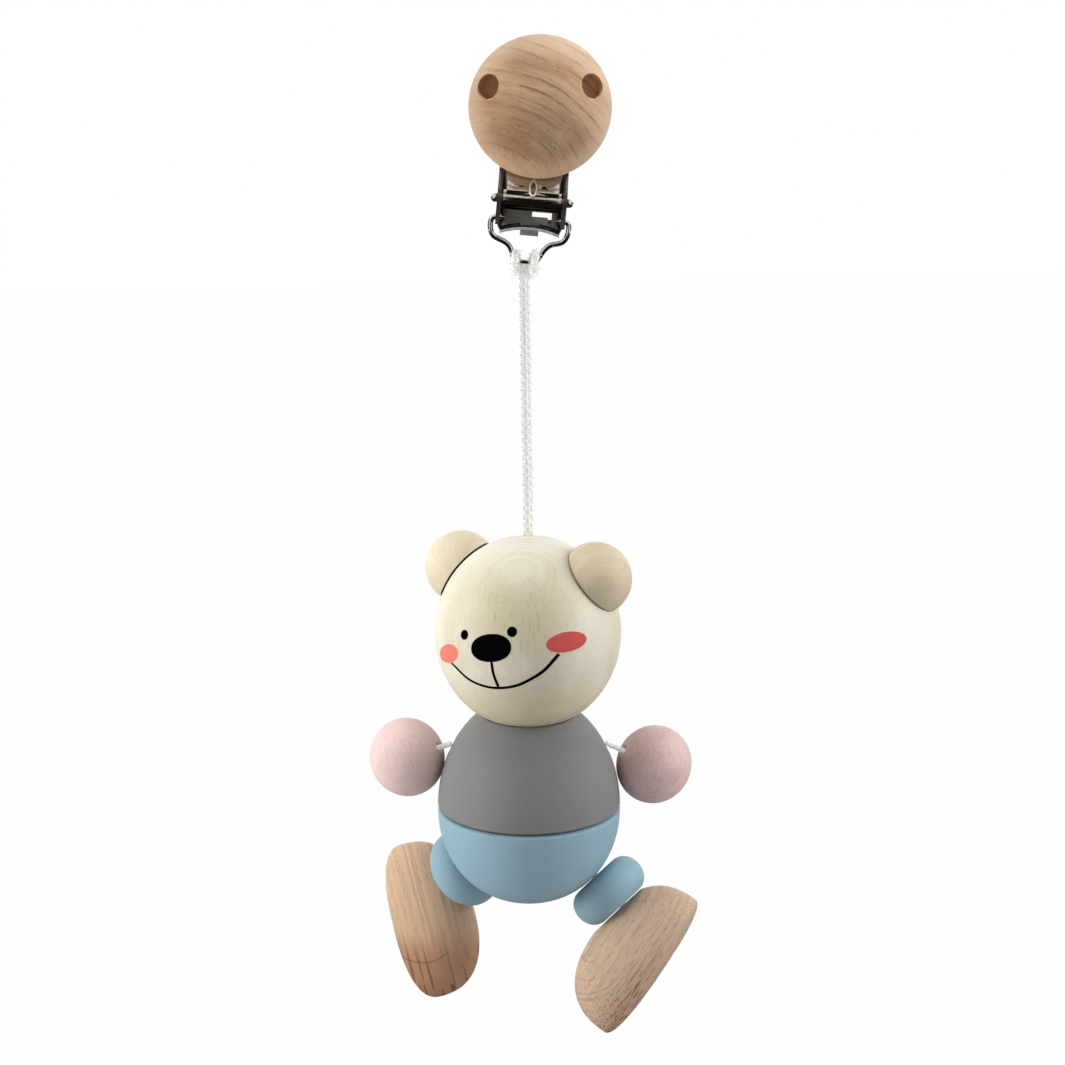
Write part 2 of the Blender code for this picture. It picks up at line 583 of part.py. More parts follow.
nod_end = head_rise + HEAD_SEAT_RADIUS
NOD = frame(HEAD_TOP, (1.0, 0.0, 0.0), HEAD_Z)
for side, x in (("left", -0.5), ("right", 0.5)):
    line = straight((x * CORD_SPACING, 0.0, -PIVOT_GAP), (x * CORD_SPACING, 0.0, -nod_end + 0.0006), 6)
    tube("head_strand_" + side, line, CORD_RADIUS, NOD, WHITE_CORD)

# Round ears, cut to the head and held by a dowel each
ear_cutter = [(HEAD_RADIUS + SEAT_GAP, 0.0)]
for i in range(13):
    a = pi * i / 12.0
    flat = HEAD_RISE if cos(a) > 0.0 else HEAD_DEPTH
    ear_cutter.append(((HEAD_RADIUS + SEAT_GAP) * sin(a), (flat + SEAT_GAP) * cos(a)))
ear_cutter = ear_cutter[1:]
ear_cutter[0] = (0.0, HEAD_RISE + SEAT_GAP)
ear_cutter[-1] = (0.0, -HEAD_DEPTH - SEAT_GAP)
for side, centre in (("left", LEFT_EAR), ("right", RIGHT_EAR)):
    out = Vector(centre).normalized()
    ear_at = frame(HEAD @ Vector(centre), HEAD_Z, HEAD.to_3x3() @ out)
    ear = ball("ear_" + side, EAR_RADIUS, ear_at, 20, 11, PALE_WOOD)
    polar = acos(out.z)
    surface = 1.0 / sqrt((sin(polar) / HEAD_RADIUS) ** 2 + (cos(polar) / HEAD_RISE) ** 2)
    cut(ear, turned("head_socket_" + side, ear_cutter, HEAD, 36))
    dowel_at = frame(HEAD @ (out * surface), HEAD_Z, HEAD.to_3x3() @ out)
    inner = -DOWEL_IN_HEAD
    outer = DOWEL_LENGTH - DOWEL_IN_HEAD
    hole = rod("dowel_hole_" + side, DOWEL_RADIUS + SEAT_GAP, inner - SEAT_GAP, outer + SEAT_GAP, dowel_at, 12)
    cut(head, hole)
    cut(ear, hole)
    rod("ear_dowel_" + side, DOWEL_RADIUS, inner, outer, dowel_at, 12, BEECH)

# Body: jacket with its dished top, trousers under the seam
BODY_Z = Vector((sin(radians(BODY_ROLL)), -sin(radians(BODY_TILT)), cos(radians(BODY_TILT)))).normalized()
rim_radius = BODY_RADIUS * sqrt(1.0 - (JACKET_RIM / JACKET_EGG) ** 2)
dish_radius = HEAD_SEAT_RADIUS + SEAT_GAP
head_above_seam = JACKET_RIM + sqrt(dish_radius ** 2 - rim_radius ** 2)
BODY = frame(HEAD.translation - BODY_Z * head_above_seam, (1.0, 0.0, 0.0), BODY_Z)
jacket_profile = []
band_radius = rim_radius - SEAT_BAND
band_height = head_above_seam - sqrt(dish_radius ** 2 - band_radius ** 2)
rim_angle = acos(JACKET_RIM / JACKET_EGG)
for i in range(9):
    a = rim_angle + (pi / 2.0 - rim_angle) * i / 8.0
    jacket_profile.append((BODY_RADIUS * sin(a), JACKET_EGG * cos(a)))
jacket_profile[0] = (rim_radius, JACKET_RIM)
jacket_profile[-1] = (BODY_RADIUS, SEAM_CHAMFER + SEAT_GAP / 2.0)
jacket_profile += [(BODY_RADIUS - SEAM_CHAMFER, SEAT_GAP / 2.0), (CORE_BORE, SEAT_GAP / 2.0)]
jacket_profile += [(CORE_BORE, NECK_CONE_DEPTH), (band_radius, band_height)]
jacket = turned("jacket", jacket_profile, BODY, 36, GREY_PAINT, True)

trouser_profile = [(CORE_BORE, -SEAT_GAP / 2.0), (BODY_RADIUS - SEAM_CHAMFER, -SEAT_GAP / 2.0)]
trouser_profile.append((BODY_RADIUS, -SEAM_CHAMFER - SEAT_GAP / 2.0))
for i in range(1, 9):
    a = pi / 2.0 * i / 9.0
    r = BODY_RADIUS * cos(a) ** (2.0 / TROUSER_POWER)
    trouser_profile.append((r, -TROUSER_DEPTH * sin(a) ** (2.0 / TROUSER_POWER)))
recess = TROUSER_DEPTH - END_RECESS_DEPTH
trouser_profile += [(END_RECESS_RADIUS + 0.0003, -TROUSER_DEPTH), (END_RECESS_RADIUS, -TROUSER_DEPTH + 0.0003)]
trouser_profile += [(END_RECESS_RADIUS, -recess), (CORE_BORE, -recess)]
HIPS = BODY @ Matrix.Rotation(radians(-HIP_YAW), 4, "Z")
trousers = turned("trousers", trouser_profile, HIPS, 36, BLUE_PAINT, True)

body_top = head_above_seam - HEAD_SEAT_RADIUS - 0.0005
knot_top = -recess - SEAT_GAP
for side, x in (("left", -0.5), ("right", 0.5)):
    line = straight((x * CORD_SPACING, 0.0, body_top), (x * CORD_SPACING, 0.0, knot_top + 2.0 * SEAT_GAP), 6)
    tube("body_strand_" + side, line, CORD_RADIUS, BODY, WHITE_CORD)
knot_at = shifted(BODY, z=knot_top - END_KNOT_RADIUS * 0.8)
ball("end_knot", END_KNOT_RADIUS, knot_at, 14, 6, WHITE_CORD, 0.8)

# Arms: one cord through the jacket, a bead on each end
arm_level = BODY_RADIUS * sqrt(1.0 - (ARM_HEIGHT / JACKET_EGG) ** 2)
arm_mouth = sqrt(arm_level ** 2 - ARM_BACK ** 2)
ARM = frame(BODY @ Vector((0.0, ARM_BACK, ARM_HEIGHT)), BODY.to_3x3() @ Vector((0.0, 0.0, 1.0)),
            BODY.to_3x3() @ Vector((1.0, 0.0, 0.0)))
cut(jacket, rod("arm_bore", ARM_BORE, -1.3 * BODY_RADIUS, 1.3 * BODY_RADIUS, ARM, 16))
tube("arm_cord", straight((0.0, 0.0, -arm_mouth + 0.0006), (0.0, 0.0, arm_mouth - 0.0006), 5), ARM_CORD_RADIUS,
     ARM, WHITE_CORD)
for side, x, away in (("left", -1.0, LEFT_HAND_REACH), ("right", 1.0, RIGHT_HAND_REACH)):
    mouth = Vector((x * arm_mouth, ARM_BACK, ARM_HEIGHT))
    centre = mouth + Vector(away)
    out = Vector(away).normalized()
    reach = Vector(away).length
    hand_at = frame(BODY @ centre, BODY_Z, BODY.to_3x3() @ out)
    profile = []
    mouth_angle = asin(HAND_BORE * 1.4 / HAND_RADIUS)
    recess_angle = asin(HAND_RECESS_RADIUS * 1.1 / HAND_RADIUS)
    for i in range(10):
        a = recess_angle + (pi - mouth_angle - recess_angle) * i / 9.0
        profile.append((HAND_RADIUS * sin(a), HAND_HALF_LENGTH * cos(a)))
    profile += [(HAND_BORE, profile[-1][1] + 0.0003), (HAND_BORE, HAND_HALF_LENGTH - HAND_RECESS_DEPTH)]
    profile += [(HAND_RECESS_RADIUS, HAND_HALF_LENGTH - HAND_RECESS_DEPTH)]
    profile += [(HAND_RECESS_RADIUS, profile[0][1] - 0.0002)]
    turned("hand_" + side, profile, hand_at, 22, PINK_PAINT, True)
    knot_seat = reach + HAND_HALF_LENGTH - HAND_RECESS_DEPTH + SEAT_GAP
    stub_at = frame(BODY @ mouth, BODY_Z, BODY.to_3x3() @ out)
    tube("arm_cord_" + side, straight((0.0, 0.0, PIVOT_GAP), (0.0, 0.0, knot_seat - 0.0003), 6), ARM_CORD_RADIUS,
         stub_at, WHITE_CORD)
    ball("hand_knot_" + side, HAND_KNOT_RADIUS, shifted(stub_at, z=knot_seat + 0.8 * HAND_KNOT_RADIUS), 12, 6,
         WHITE_CORD, 0.8)

# Hips: an elastic cord through the trousers
hip_level = BODY_RADIUS * (1.0 - (HIP_DROP / TROUSER_DEPTH) ** TROUSER_POWER) ** (1.0 / TROUSER_POWER)
hip_level = sqrt(hip_level ** 2 - HIP_BACK ** 2)
apex = Vector((0.0, HIP_BACK, -HIP_APEX_DROP))
hip_ends = []
for side, x in (("left", -1.0), ("right", 1.0)):
    mouth = Vector((x * hip_level, HIP_BACK, -HIP_DROP))
    inward = (apex - mouth).normalized()
    length = (apex - mouth).length
    bore_at = frame(HIPS @ mouth, BODY_Z, HIPS.to_3x3() @ inward)
    cut(trousers, rod("hip_bore_" + side, HIP_BORE, -0.25 * BODY_RADIUS, length + 0.0004, bore_at, 16))
    hip_ends.append(mouth + inward * 0.0012)
bend = [hip_ends[0], hip_ends[0].lerp(apex, 0.5), hip_ends[0].lerp(apex, 0.86), hip_ends[0].lerp(apex, 0.97)]
bend[3].z = bend[3].z - 0.0001
bend += [p for p in reversed([hip_ends[1], hip_ends[1].lerp(apex, 0.5), hip_ends[1].lerp(apex, 0.86),
                              hip_ends[1].lerp(apex, 0.97)])]
bend[4].z = bend[4].z - 0.0001
tube("hip_elastic", smooth_path(bend, 2), ELASTIC_RADIUS, HIPS, WHITE_CORD)

# Legs: thigh bead and wooden foot on each elastic
thigh_profile = []
rim = 0.42 * THIGH_LENGTH
face = THIGH_RADIUS - rim
for i in range(10):
    a = pi * i / 9.0
    thigh_profile.append((face + rim * sin(a), THIGH_LENGTH / 2.0 * cos(a)))
thigh_profile += [(THIGH_BORE, -THIGH_LENGTH / 2.0), (THIGH_BORE, THIGH_LENGTH / 2.0)]
bore_tilt = radians(FOOT_BORE_TILT)
heel_power = 2.5
toe_power = 2.1


def foot_mesh(name):
    """A dome over a shallow sole, blunt at the heel and longer to the toe; X runs to the toe, Z up."""
    mesh = bpy.data.meshes.new(name)
    shape = bmesh.new()
    bmesh.ops.create_uvsphere(shape, u_segments=20, v_segments=13, radius=1.0)
    bmesh.ops.rotate(shape, cent=(0.0, 0.0, 0.0), matrix=Matrix.Rotation(pi / 2.0, 3, "Y"), verts=shape.verts)
    for v in shape.verts:
        x = max(-1.0, min(1.0, v.co.x))
        r = sqrt(max(0.0, 1.0 - x * x))
        length = FOOT_TOE if x > 0.0 else FOOT_HEEL
        power = toe_power if x > 0.0 else heel_power
        along = (1.0 if x > 0.0 else -1.0) * abs(x) ** (2.0 / power)
        p = r ** (2.0 / power)
        y = v.co.y / r if r > 0.0001 else 0.0
        z = v.co.z / r if r > 0.0001 else 0.0
        v.co.x = along * length + FOOT_HEEL
        v.co.y = y * p * FOOT_HALF_WIDTH
        v.co.z = z * p * (FOOT_HEIGHT if z > 0.0 else FOOT_SOLE)
    bmesh.ops.recalc_face_normals(shape, faces=shape.faces)
    for polygon in shape.faces:
        polygon.smooth = True
    shape.to_mesh(mesh)
    shape.free()
    return mesh


seat_point = Vector((FOOT_BORE_FROM_HEEL, 0.0, FOOT_SEAT_HEIGHT))
bore_down = Vector((sin(bore_tilt), 0.0, -cos(bore_tilt)))
sole_reach = (FOOT_SEAT_HEIGHT + FOOT_SOLE * 0.97) / cos(bore_tilt)
for side, x, direction, toe, offset in (("left", -1.0, LEFT_LEG, LEFT_TOE, LEFT_THIGH_OFFSET),
                                        ("right", 1.0, RIGHT_LEG, RIGHT_TOE, RIGHT_THIGH_OFFSET)):
    mouth = HIPS @ Vector((x * hip_level, HIP_BACK, -HIP_DROP))
    down = Vector(direction).normalized()
    ahead = Vector(toe)
    ahead = (ahead - down * ahead.dot(down)).normalized()
    thigh_at = frame(mouth + down * (offset + THIGH_LENGTH / 2.0), ahead, down)
    turned("thigh_" + side, thigh_profile, thigh_at, 24, BLUE_PAINT, True)
    foot_start = offset + THIGH_LENGTH + SEAT_GAP
    foot_x = down * sin(bore_tilt) + ahead * cos(bore_tilt)
    foot_z = ahead * sin(bore_tilt) - down * cos(bore_tilt)
    turn_matrix = frame((0.0, 0.0, 0.0), foot_x, foot_z)
    seat_world = mouth + down * foot_start
    foot_at = turn_matrix.copy()
    foot_at.translation = seat_world - turn_matrix.to_3x3() @ seat_point
    foot = place("foot_" + side, foot_mesh("foot_" + side), foot_at, BEECH)
    along = frame(seat_world, ahead, down)
    knot_place = sole_reach - FOOT_RECESS_DEPTH
    foot_cutter = [(0.0, 0.0220), (FOOT_RECESS_RADIUS, 0.0220), (FOOT_RECESS_RADIUS, knot_place)]
    foot_cutter += [(THIGH_BORE, knot_place), (THIGH_BORE, 0.0), (0.0090, 0.0), (0.0090, -0.0060), (0.0, -0.0060)]
    cut(foot, turned("foot_bore_" + side, foot_cutter, along, 16))
    leg_at = frame(mouth, ahead, down)
    knot_seat = foot_start + knot_place + SEAT_GAP
    tube("leg_cord_" + side, straight((0.0, 0.0, PIVOT_GAP), (0.0, 0.0, knot_seat - SEAT_GAP), 8), ELASTIC_RADIUS,
         leg_at, WHITE_CORD)
    ball("foot_knot_" + side, FOOT_KNOT_RADIUS, shifted(leg_at, z=knot_seat + 0.8 * FOOT_KNOT_RADIUS), 12, 6,
         WHITE_CORD, 0.8)

bpy.context.view_layer.update()
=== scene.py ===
"""Looks of the wooden clip figure: a turned wooden bear on a white cord under a clip with a wooden disc.

Metres, +Z up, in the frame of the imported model. The viewer stands on the -Y side.
"""
from math import acos, asin, atan2, cos, pi, radians, sin, sqrt

import bmesh
import bpy
from mathutils import Matrix, Vector


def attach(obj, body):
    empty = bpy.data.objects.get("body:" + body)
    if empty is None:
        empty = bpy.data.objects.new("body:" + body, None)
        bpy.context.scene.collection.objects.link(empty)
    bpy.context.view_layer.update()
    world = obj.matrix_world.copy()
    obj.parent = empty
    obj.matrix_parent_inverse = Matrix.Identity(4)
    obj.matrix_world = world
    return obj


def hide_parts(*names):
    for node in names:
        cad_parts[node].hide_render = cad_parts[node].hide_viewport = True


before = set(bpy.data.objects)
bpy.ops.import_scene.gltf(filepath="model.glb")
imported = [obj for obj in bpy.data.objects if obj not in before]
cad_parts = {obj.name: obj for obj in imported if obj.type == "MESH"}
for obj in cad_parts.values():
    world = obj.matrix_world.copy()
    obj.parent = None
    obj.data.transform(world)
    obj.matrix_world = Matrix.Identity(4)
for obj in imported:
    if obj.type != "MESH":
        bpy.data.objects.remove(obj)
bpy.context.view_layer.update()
scene = bpy.context.scene
SIDES = (("left", -1.0), ("right", 1.0))


# Frames
def framed(origin, *columns):
    result = Matrix(columns).transposed().to_4x4()
    result.translation = Vector(origin)
    return result


def axes(origin, x_axis, z_axis):
    """A frame with its Z along z_axis and its X as near x_axis as that allows."""
    z = Vector(z_axis).normalized()
    x = Vector(x_axis)
    x = (x - z * x.dot(z)).normalized()
    return framed(origin, x, z.cross(x), z)


def grain_at(origin, along, across):
    """A frame whose X runs along the grain."""
    x = Vector(along).normalized()
    y = Vector(across)
    y = (y - x * y.dot(x)).normalized()
    return framed(origin, x, y, x.cross(y))


def leaning(sideways, back):
    """An upright direction that leans by two angles."""
    return Vector((sin(radians(sideways)), sin(radians(back)), cos(radians(back)))).normalized()


LEVEL = Vector((1.0, 0.0, 0.0))
ROLL = radians(6.0)
CLIP_X = Vector((cos(ROLL), 0.0, -sin(ROLL)))
CLIP_Y = Vector((0.0, 1.0, 0.0))
CLIP_Z = Vector((sin(ROLL), 0.0, cos(ROLL)))
PIN = -(CLIP_Y * 0.0055 + CLIP_Z * 0.0155)
CLIP = axes(PIN, CLIP_X, CLIP_Z)
FRONT = axes(PIN, CLIP_X, -CLIP_Y)
LOOP = axes(CLIP @ Vector((0.0, 0.0020, -0.0041)), CLIP_X, CLIP_Z)
BAR = CLIP @ Vector((0.0, 0.0020, -0.0130))
HITCH = axes(BAR, CLIP_X, CLIP_Z)
HANG_TOP = Vector((-0.00370, BAR.y, BAR.z - 0.00287))
HEAD_TOP = Vector((-0.00392, BAR.y, HANG_TOP.z - 0.05475))

HEAD_RADIUS = 0.01955
HEAD_RISE = 0.0203
HEAD_DEPTH = 0.02075
HEAD_SEAT = 0.02035
HEAD_FLAT = 0.0034
HEAD_Z = leaning(1.1, 10.4)
HEAD_TOP_RISE = HEAD_RISE * sqrt(1.0 - (HEAD_FLAT / HEAD_RADIUS) ** 2)
HEAD = axes(HEAD_TOP - HEAD_Z * HEAD_TOP_RISE, LEVEL, HEAD_Z)
HEAD_TURN = HEAD.to_3x3()

BODY_RADIUS = 0.01935
JACKET_EGG = 0.0243
JACKET_RIM = 0.0207
BODY_Z = leaning(0.9, -7.3)
RIM_RADIUS = BODY_RADIUS * sqrt(1.0 - (JACKET_RIM / JACKET_EGG) ** 2)
DISH_RADIUS = HEAD_SEAT + 0.0003
HEAD_ABOVE_SEAM = JACKET_RIM + sqrt(DISH_RADIUS ** 2 - RIM_RADIUS ** 2)
BODY = axes(HEAD.translation - BODY_Z * HEAD_ABOVE_SEAM, LEVEL, BODY_Z)
BODY_TURN = BODY.to_3x3()
HIPS = BODY @ Matrix.Rotation(radians(-21.5), 4, "Z")
TROUSER_DEPTH = 0.0209
TROUSER_POWER = 2.15


# Mesh helpers
def linked(name, data):
    """A new object of the scene."""
    made = bpy.data.objects.new(name, data)
    scene.collection.objects.link(made)
    return made


def smooth(mesh, sharp=None):
    """Smooth shading, but for edges above an angle."""
    for face in mesh.polygons:
        face.use_smooth = True
    if sharp is not None:
        mesh.set_sharp_from_angle(angle=radians(sharp))


def settle(name, shape, at=None, sharp=None):
    """A bmesh as an object at the origin, its faces outwards and smooth, its place in its mesh."""
    bmesh.ops.remove_doubles(shape, verts=shape.verts, dist=0.0000005)
    bmesh.ops.recalc_face_normals(shape, faces=shape.faces)
    mesh = bpy.data.meshes.new(name)
    shape.to_mesh(mesh)
    shape.free()
    if at is not None:
        mesh.transform(at)
    smooth(mesh, sharp)
    return linked(name, mesh)


def bake(piece, sharp=None):
    """Makes a piece's modifiers final."""
    bpy.context.view_layer.update()
    graph = bpy.context.evaluated_depsgraph_get()
    mesh = bpy.data.meshes.new_from_object(piece.evaluated_get(graph))
    piece.modifiers.clear()
    piece.data = mesh
    smooth(mesh, sharp)


def arc(count, width, height, start, end, middle=(0.0, 0.0)):
    """Profile points along an oval, between two angles from its top."""
    angles = [start + (end - start) * i / count for i in range(count + 1)]
    return [(middle[0] + width * sin(a), middle[1] + height * cos(a)) for a in angles]


def lathe(name, profile, at, steps=96, closed=False, sharp=28.0):
    """A turned piece from (radius, height) points that run down its outer side."""
    shape = bmesh.new()
    turns = [(cos(2.0 * pi * i / steps), sin(2.0 * pi * i / steps)) for i in range(steps)]
    rings = []
    for r, z in profile:
        if r < 0.0000001:
            rings.append([shape.verts.new((0.0, 0.0, z))] * steps)
        else:
            rings.append([shape.verts.new((r * c, r * s, z)) for c, s in turns])
    if closed:
        rings.append(rings[0])
    for upper, lower in zip(rings, rings[1:]):
        for i in range(steps):
            k = (i + 1) % steps
            corners = tuple(dict.fromkeys((upper[i], upper[k], lower[k], lower[i])))
            if len(corners) > 2:
                shape.faces.new(corners)
    return settle(name, shape, at, sharp)


def rounded(profile, radius, steps=4, closed=False):
    """A turning profile with its corners eased by a radius."""
    result = []
    count = len(profile)
    for i, (r, z) in enumerate(profile):
        here = Vector((r, z))
        a = Vector(profile[i - 1]) - here
        b = Vector(profile[(i + 1) % count]) - here
        end_point = not closed and i in (0, count - 1)
        if end_point or not a.length or not b.length or pi - a.angle(b) < radians(25.0):
            result.append((r, z))
            continue
        reach = min(radius, 0.45 * a.length, 0.45 * b.length)
        start = here + a.normalized() * reach
        end = here + b.normalized() * reach
        for k in range(steps + 1):
            t = k / steps
            p = start.lerp(here, t).lerp(here.lerp(end, t), t)
            result.append((p.x, p.y))
    return result


def smooth_path(points, per_span):
    """Points along a smooth curve through the given ones."""
    pts = [Vector(p) for p in points]
    pts = [pts[0] * 2.0 - pts[1]] + pts + [pts[-1] * 2.0 - pts[-2]]
    result = []
    for p0, p1, p2, p3 in zip(pts, pts[1:], pts[2:], pts[3:]):
        for k in range(per_span):
            t = k / per_span
            result.append(0.5 * (2.0 * p1 + (p2 - p0) * t + (2.0 * p0 - 5.0 * p1 + 4.0 * p2 - p3) * t * t
                                 + (3.0 * p1 - p0 - 3.0 * p2 + p3) * t * t * t))
    return result + [pts[-2]]


def carve(target, cutter):
    """Takes a cutter out of a piece."""
    step = target.modifiers.new("cut", "BOOLEAN")
    step.operation = "DIFFERENCE"
    step.solver = "EXACT"
    step.object = cutter
    bake(target, 28.0)
    bpy.data.objects.remove(cutter, do_unlink=True)


def drill(name, radius, low, high, at, lip, steps):
    """A cutter for a hole whose mouth is at height 0 and is eased by a lip."""
    wide = radius + lip
    profile = [(0.0, high), (radius + lip * 2.2, high), (radius + lip * 2.2, lip * 0.9), (wide, 0.00002)]
    profile += arc(4, -lip, lip, 0.0, pi / 2.0, (wide, -lip))[1:]
    return lathe(name, profile + [(radius, low), (0.0, low)], at, steps, sharp=None)


def dressed(piece, look, body, *nodes):
    """Gives a piece its finish, its body and the solids it stands for."""
    piece.data.materials.clear()
    piece.data.materials.append(look)
    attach(piece, body)
    if nodes:
        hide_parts(*nodes)
    return piece


# Camera at the photograph's viewing angle
TILT = radians(9.0)
TURN = radians(1.2)
REACH = 0.850
PIXEL = 0.00021
FRAME_PIXELS = 1065.0
SENSOR = 36.0
PIN_PIXEL = (532.0, 200.5)
LOOK = Vector((0.0, cos(TILT), -sin(TILT)))
RISE = Vector((0.0, sin(TILT), cos(TILT)))
RIGHT = LEVEL * cos(TURN) - RISE * sin(TURN)
UP = LEVEL * sin(TURN) + RISE * cos(TURN)


def sight(x, y):
    """The line of sight through a pixel of the frame, as long as the camera's reach."""
    middle = FRAME_PIXELS / 2.0
    return LOOK * REACH + RIGHT * ((x - middle) * PIXEL) + UP * ((middle - y) * PIXEL)


TO_PIN = sight(*PIN_PIXEL)
EYE = PIN - TO_PIN * ((PIN.y + (LOOK * REACH).y - BAR.y) / TO_PIN.y)
camera = linked("camera", bpy.data.cameras.new("camera"))
camera.matrix_world = Matrix((RIGHT, UP, -LOOK)).transposed().to_4x4()
camera.location = EYE
camera.data.sensor_width = SENSOR
camera.data.lens = SENSOR * REACH / (FRAME_PIXELS * PIXEL)
camera.data.clip_start = 0.01
scene.camera = camera


# Node trees
class Field:
    """An output of a node; sums, products and ramps of fields are nodes too."""

    def __init__(self, maker, socket):
        self.maker = maker
        self.socket = socket

    def __add__(self, other):
        return self.maker.math("ADD", self, other)

    def __sub__(self, other):
        return self.maker.math("SUBTRACT", self, other)

    def __mul__(self, other):
        return self.maker.math("MULTIPLY", self, other)

    def __truediv__(self, other):
        return self.maker.math("DIVIDE", self, other)

    def __abs__(self):
        return self.maker.math("ABSOLUTE", self)

    def ramp(self, low, high, out_low=0.0, out_high=1.0):
        """The field's span from low to high, eased into another span."""
        return self.maker.node("MapRange", "Result", {
            "Value": self, "From Min": low, "From Max": high, "To Min": out_low, "To Max": out_high},
            interpolation_type="SMOOTHSTEP")


class Nodes:
    """A node tree made by short calls."""
    family = "ShaderNode"

    def __init__(self, tree):
        self.tree = tree

    def put(self, socket, value):
        """Links a field to a socket, or sets a plain value on it."""
        if isinstance(value, Field):
            self.tree.links.new(value.socket, socket)
        else:
            socket.default_value = value

    def node(self, kind, output, values, **settings):
        """A node's output as a field, or several of them as a list."""
        made = self.tree.nodes.new(kind if "Node" in kind else self.family + kind)
        for key, value in settings.items():
            setattr(made, key, value)
        for socket, value in values.items():
            self.put(made.inputs[socket], value)
        if isinstance(output, tuple):
            return [Field(self, made.outputs[one]) for one in output]
        return Field(self, made.outputs[output])

    def math(self, operation, a, b=0.0, **settings):
        return self.node("ShaderNodeMath", 0, {0: a, 1: b}, operation=operation, **settings)

    def seen_by(self, *kinds):
        """1 where a ray is of one of the kinds, else 0."""
        rays = self.node("LightPath", kinds, {})
        seen = rays[0]
        for other in rays[1:]:
            seen = self.math("MAXIMUM", seen, other)
        return seen


class Growth(Nodes):
    """A Geometry Nodes tree with named inputs, grown along a path and kept as a plain mesh."""
    family = "GeometryNode"

    def __init__(self, name, **inputs):
        super().__init__(bpy.data.node_groups.new(name, "GeometryNodeTree"))
        for label, kind in dict(Path="Geometry", **inputs, Finish="Material").items():
            self.tree.interface.new_socket(label, in_out="INPUT", socket_type="NodeSocket" + kind)
        self.tree.interface.new_socket("Geometry", in_out="OUTPUT", socket_type="NodeSocketGeometry")
        start = self.tree.nodes.new("NodeGroupInput")
        self.given = {one.name: Field(self, one) for one in start.outputs}
        self.end = self.tree.nodes.new("NodeGroupOutput")

    def vector(self, operation, a, b):
        values = {0: a, "Scale" if operation == "SCALE" else 1: b}
        return self.node("ShaderNodeVectorMath", 0, values, operation=operation)

    def tube(self, curve, radius, sides, flat=1.0):
        """A closed tube along a curve, squeezed along the curve's own normal."""
        ring = self.node("CurvePrimitiveCircle", 0, {"Resolution": sides, "Radius": radius})
        ring = self.node("Transform", 0, {"Geometry": ring, "Scale": (flat, 1.0, 1.0)})
        return self.node("CurveToMesh", 0, {"Curve": curve, "Profile Curve": ring, "Fill Caps": True})

    def close(self, *parts):
        """Ends the tree with its parts joined, realized and finished."""
        joined = self.tree.nodes.new("GeometryNodeJoinGeometry")
        for part in parts:
            self.put(joined.inputs[0], part)
        real = self.node("RealizeInstances", 0, {0: Field(self, joined.outputs[0])})
        done = self.node("SetMaterial", 0, {"Geometry": real, "Material": self.given["Finish"]})
        self.put(self.end.inputs[0], done)

    def grow(self, name, points, **values):
        """The tree's mesh along points, as an object without its modifier."""
        path = bpy.data.meshes.new(name)
        path.from_pydata([tuple(p) for p in points], [(i, i + 1) for i in range(len(points) - 1)], [])
        made = linked(name, path)
        maker = made.modifiers.new("growth", "NODES")
        maker.node_group = self.tree
        for item in self.tree.interface.items_tree:
            if item.in_out == "INPUT" and item.name in values:
                maker[item.identifier] = values[item.name]
        bake(made)
        shape = bmesh.new()
        shape.from_mesh(made.data)
        bmesh.ops.recalc_face_normals(shape, faces=shape.faces)
        shape.to_mesh(made.data)
        shape.free()
        return made


def swept_wire():
    """A bent wire of one thickness."""
    make = Growth("bent_wire", Radius="Float")
    curve = make.node("MeshToCurve", 0, {"Mesh": make.given["Path"]})
    make.close(make.tube(curve, make.given["Radius"], 20))
    return make


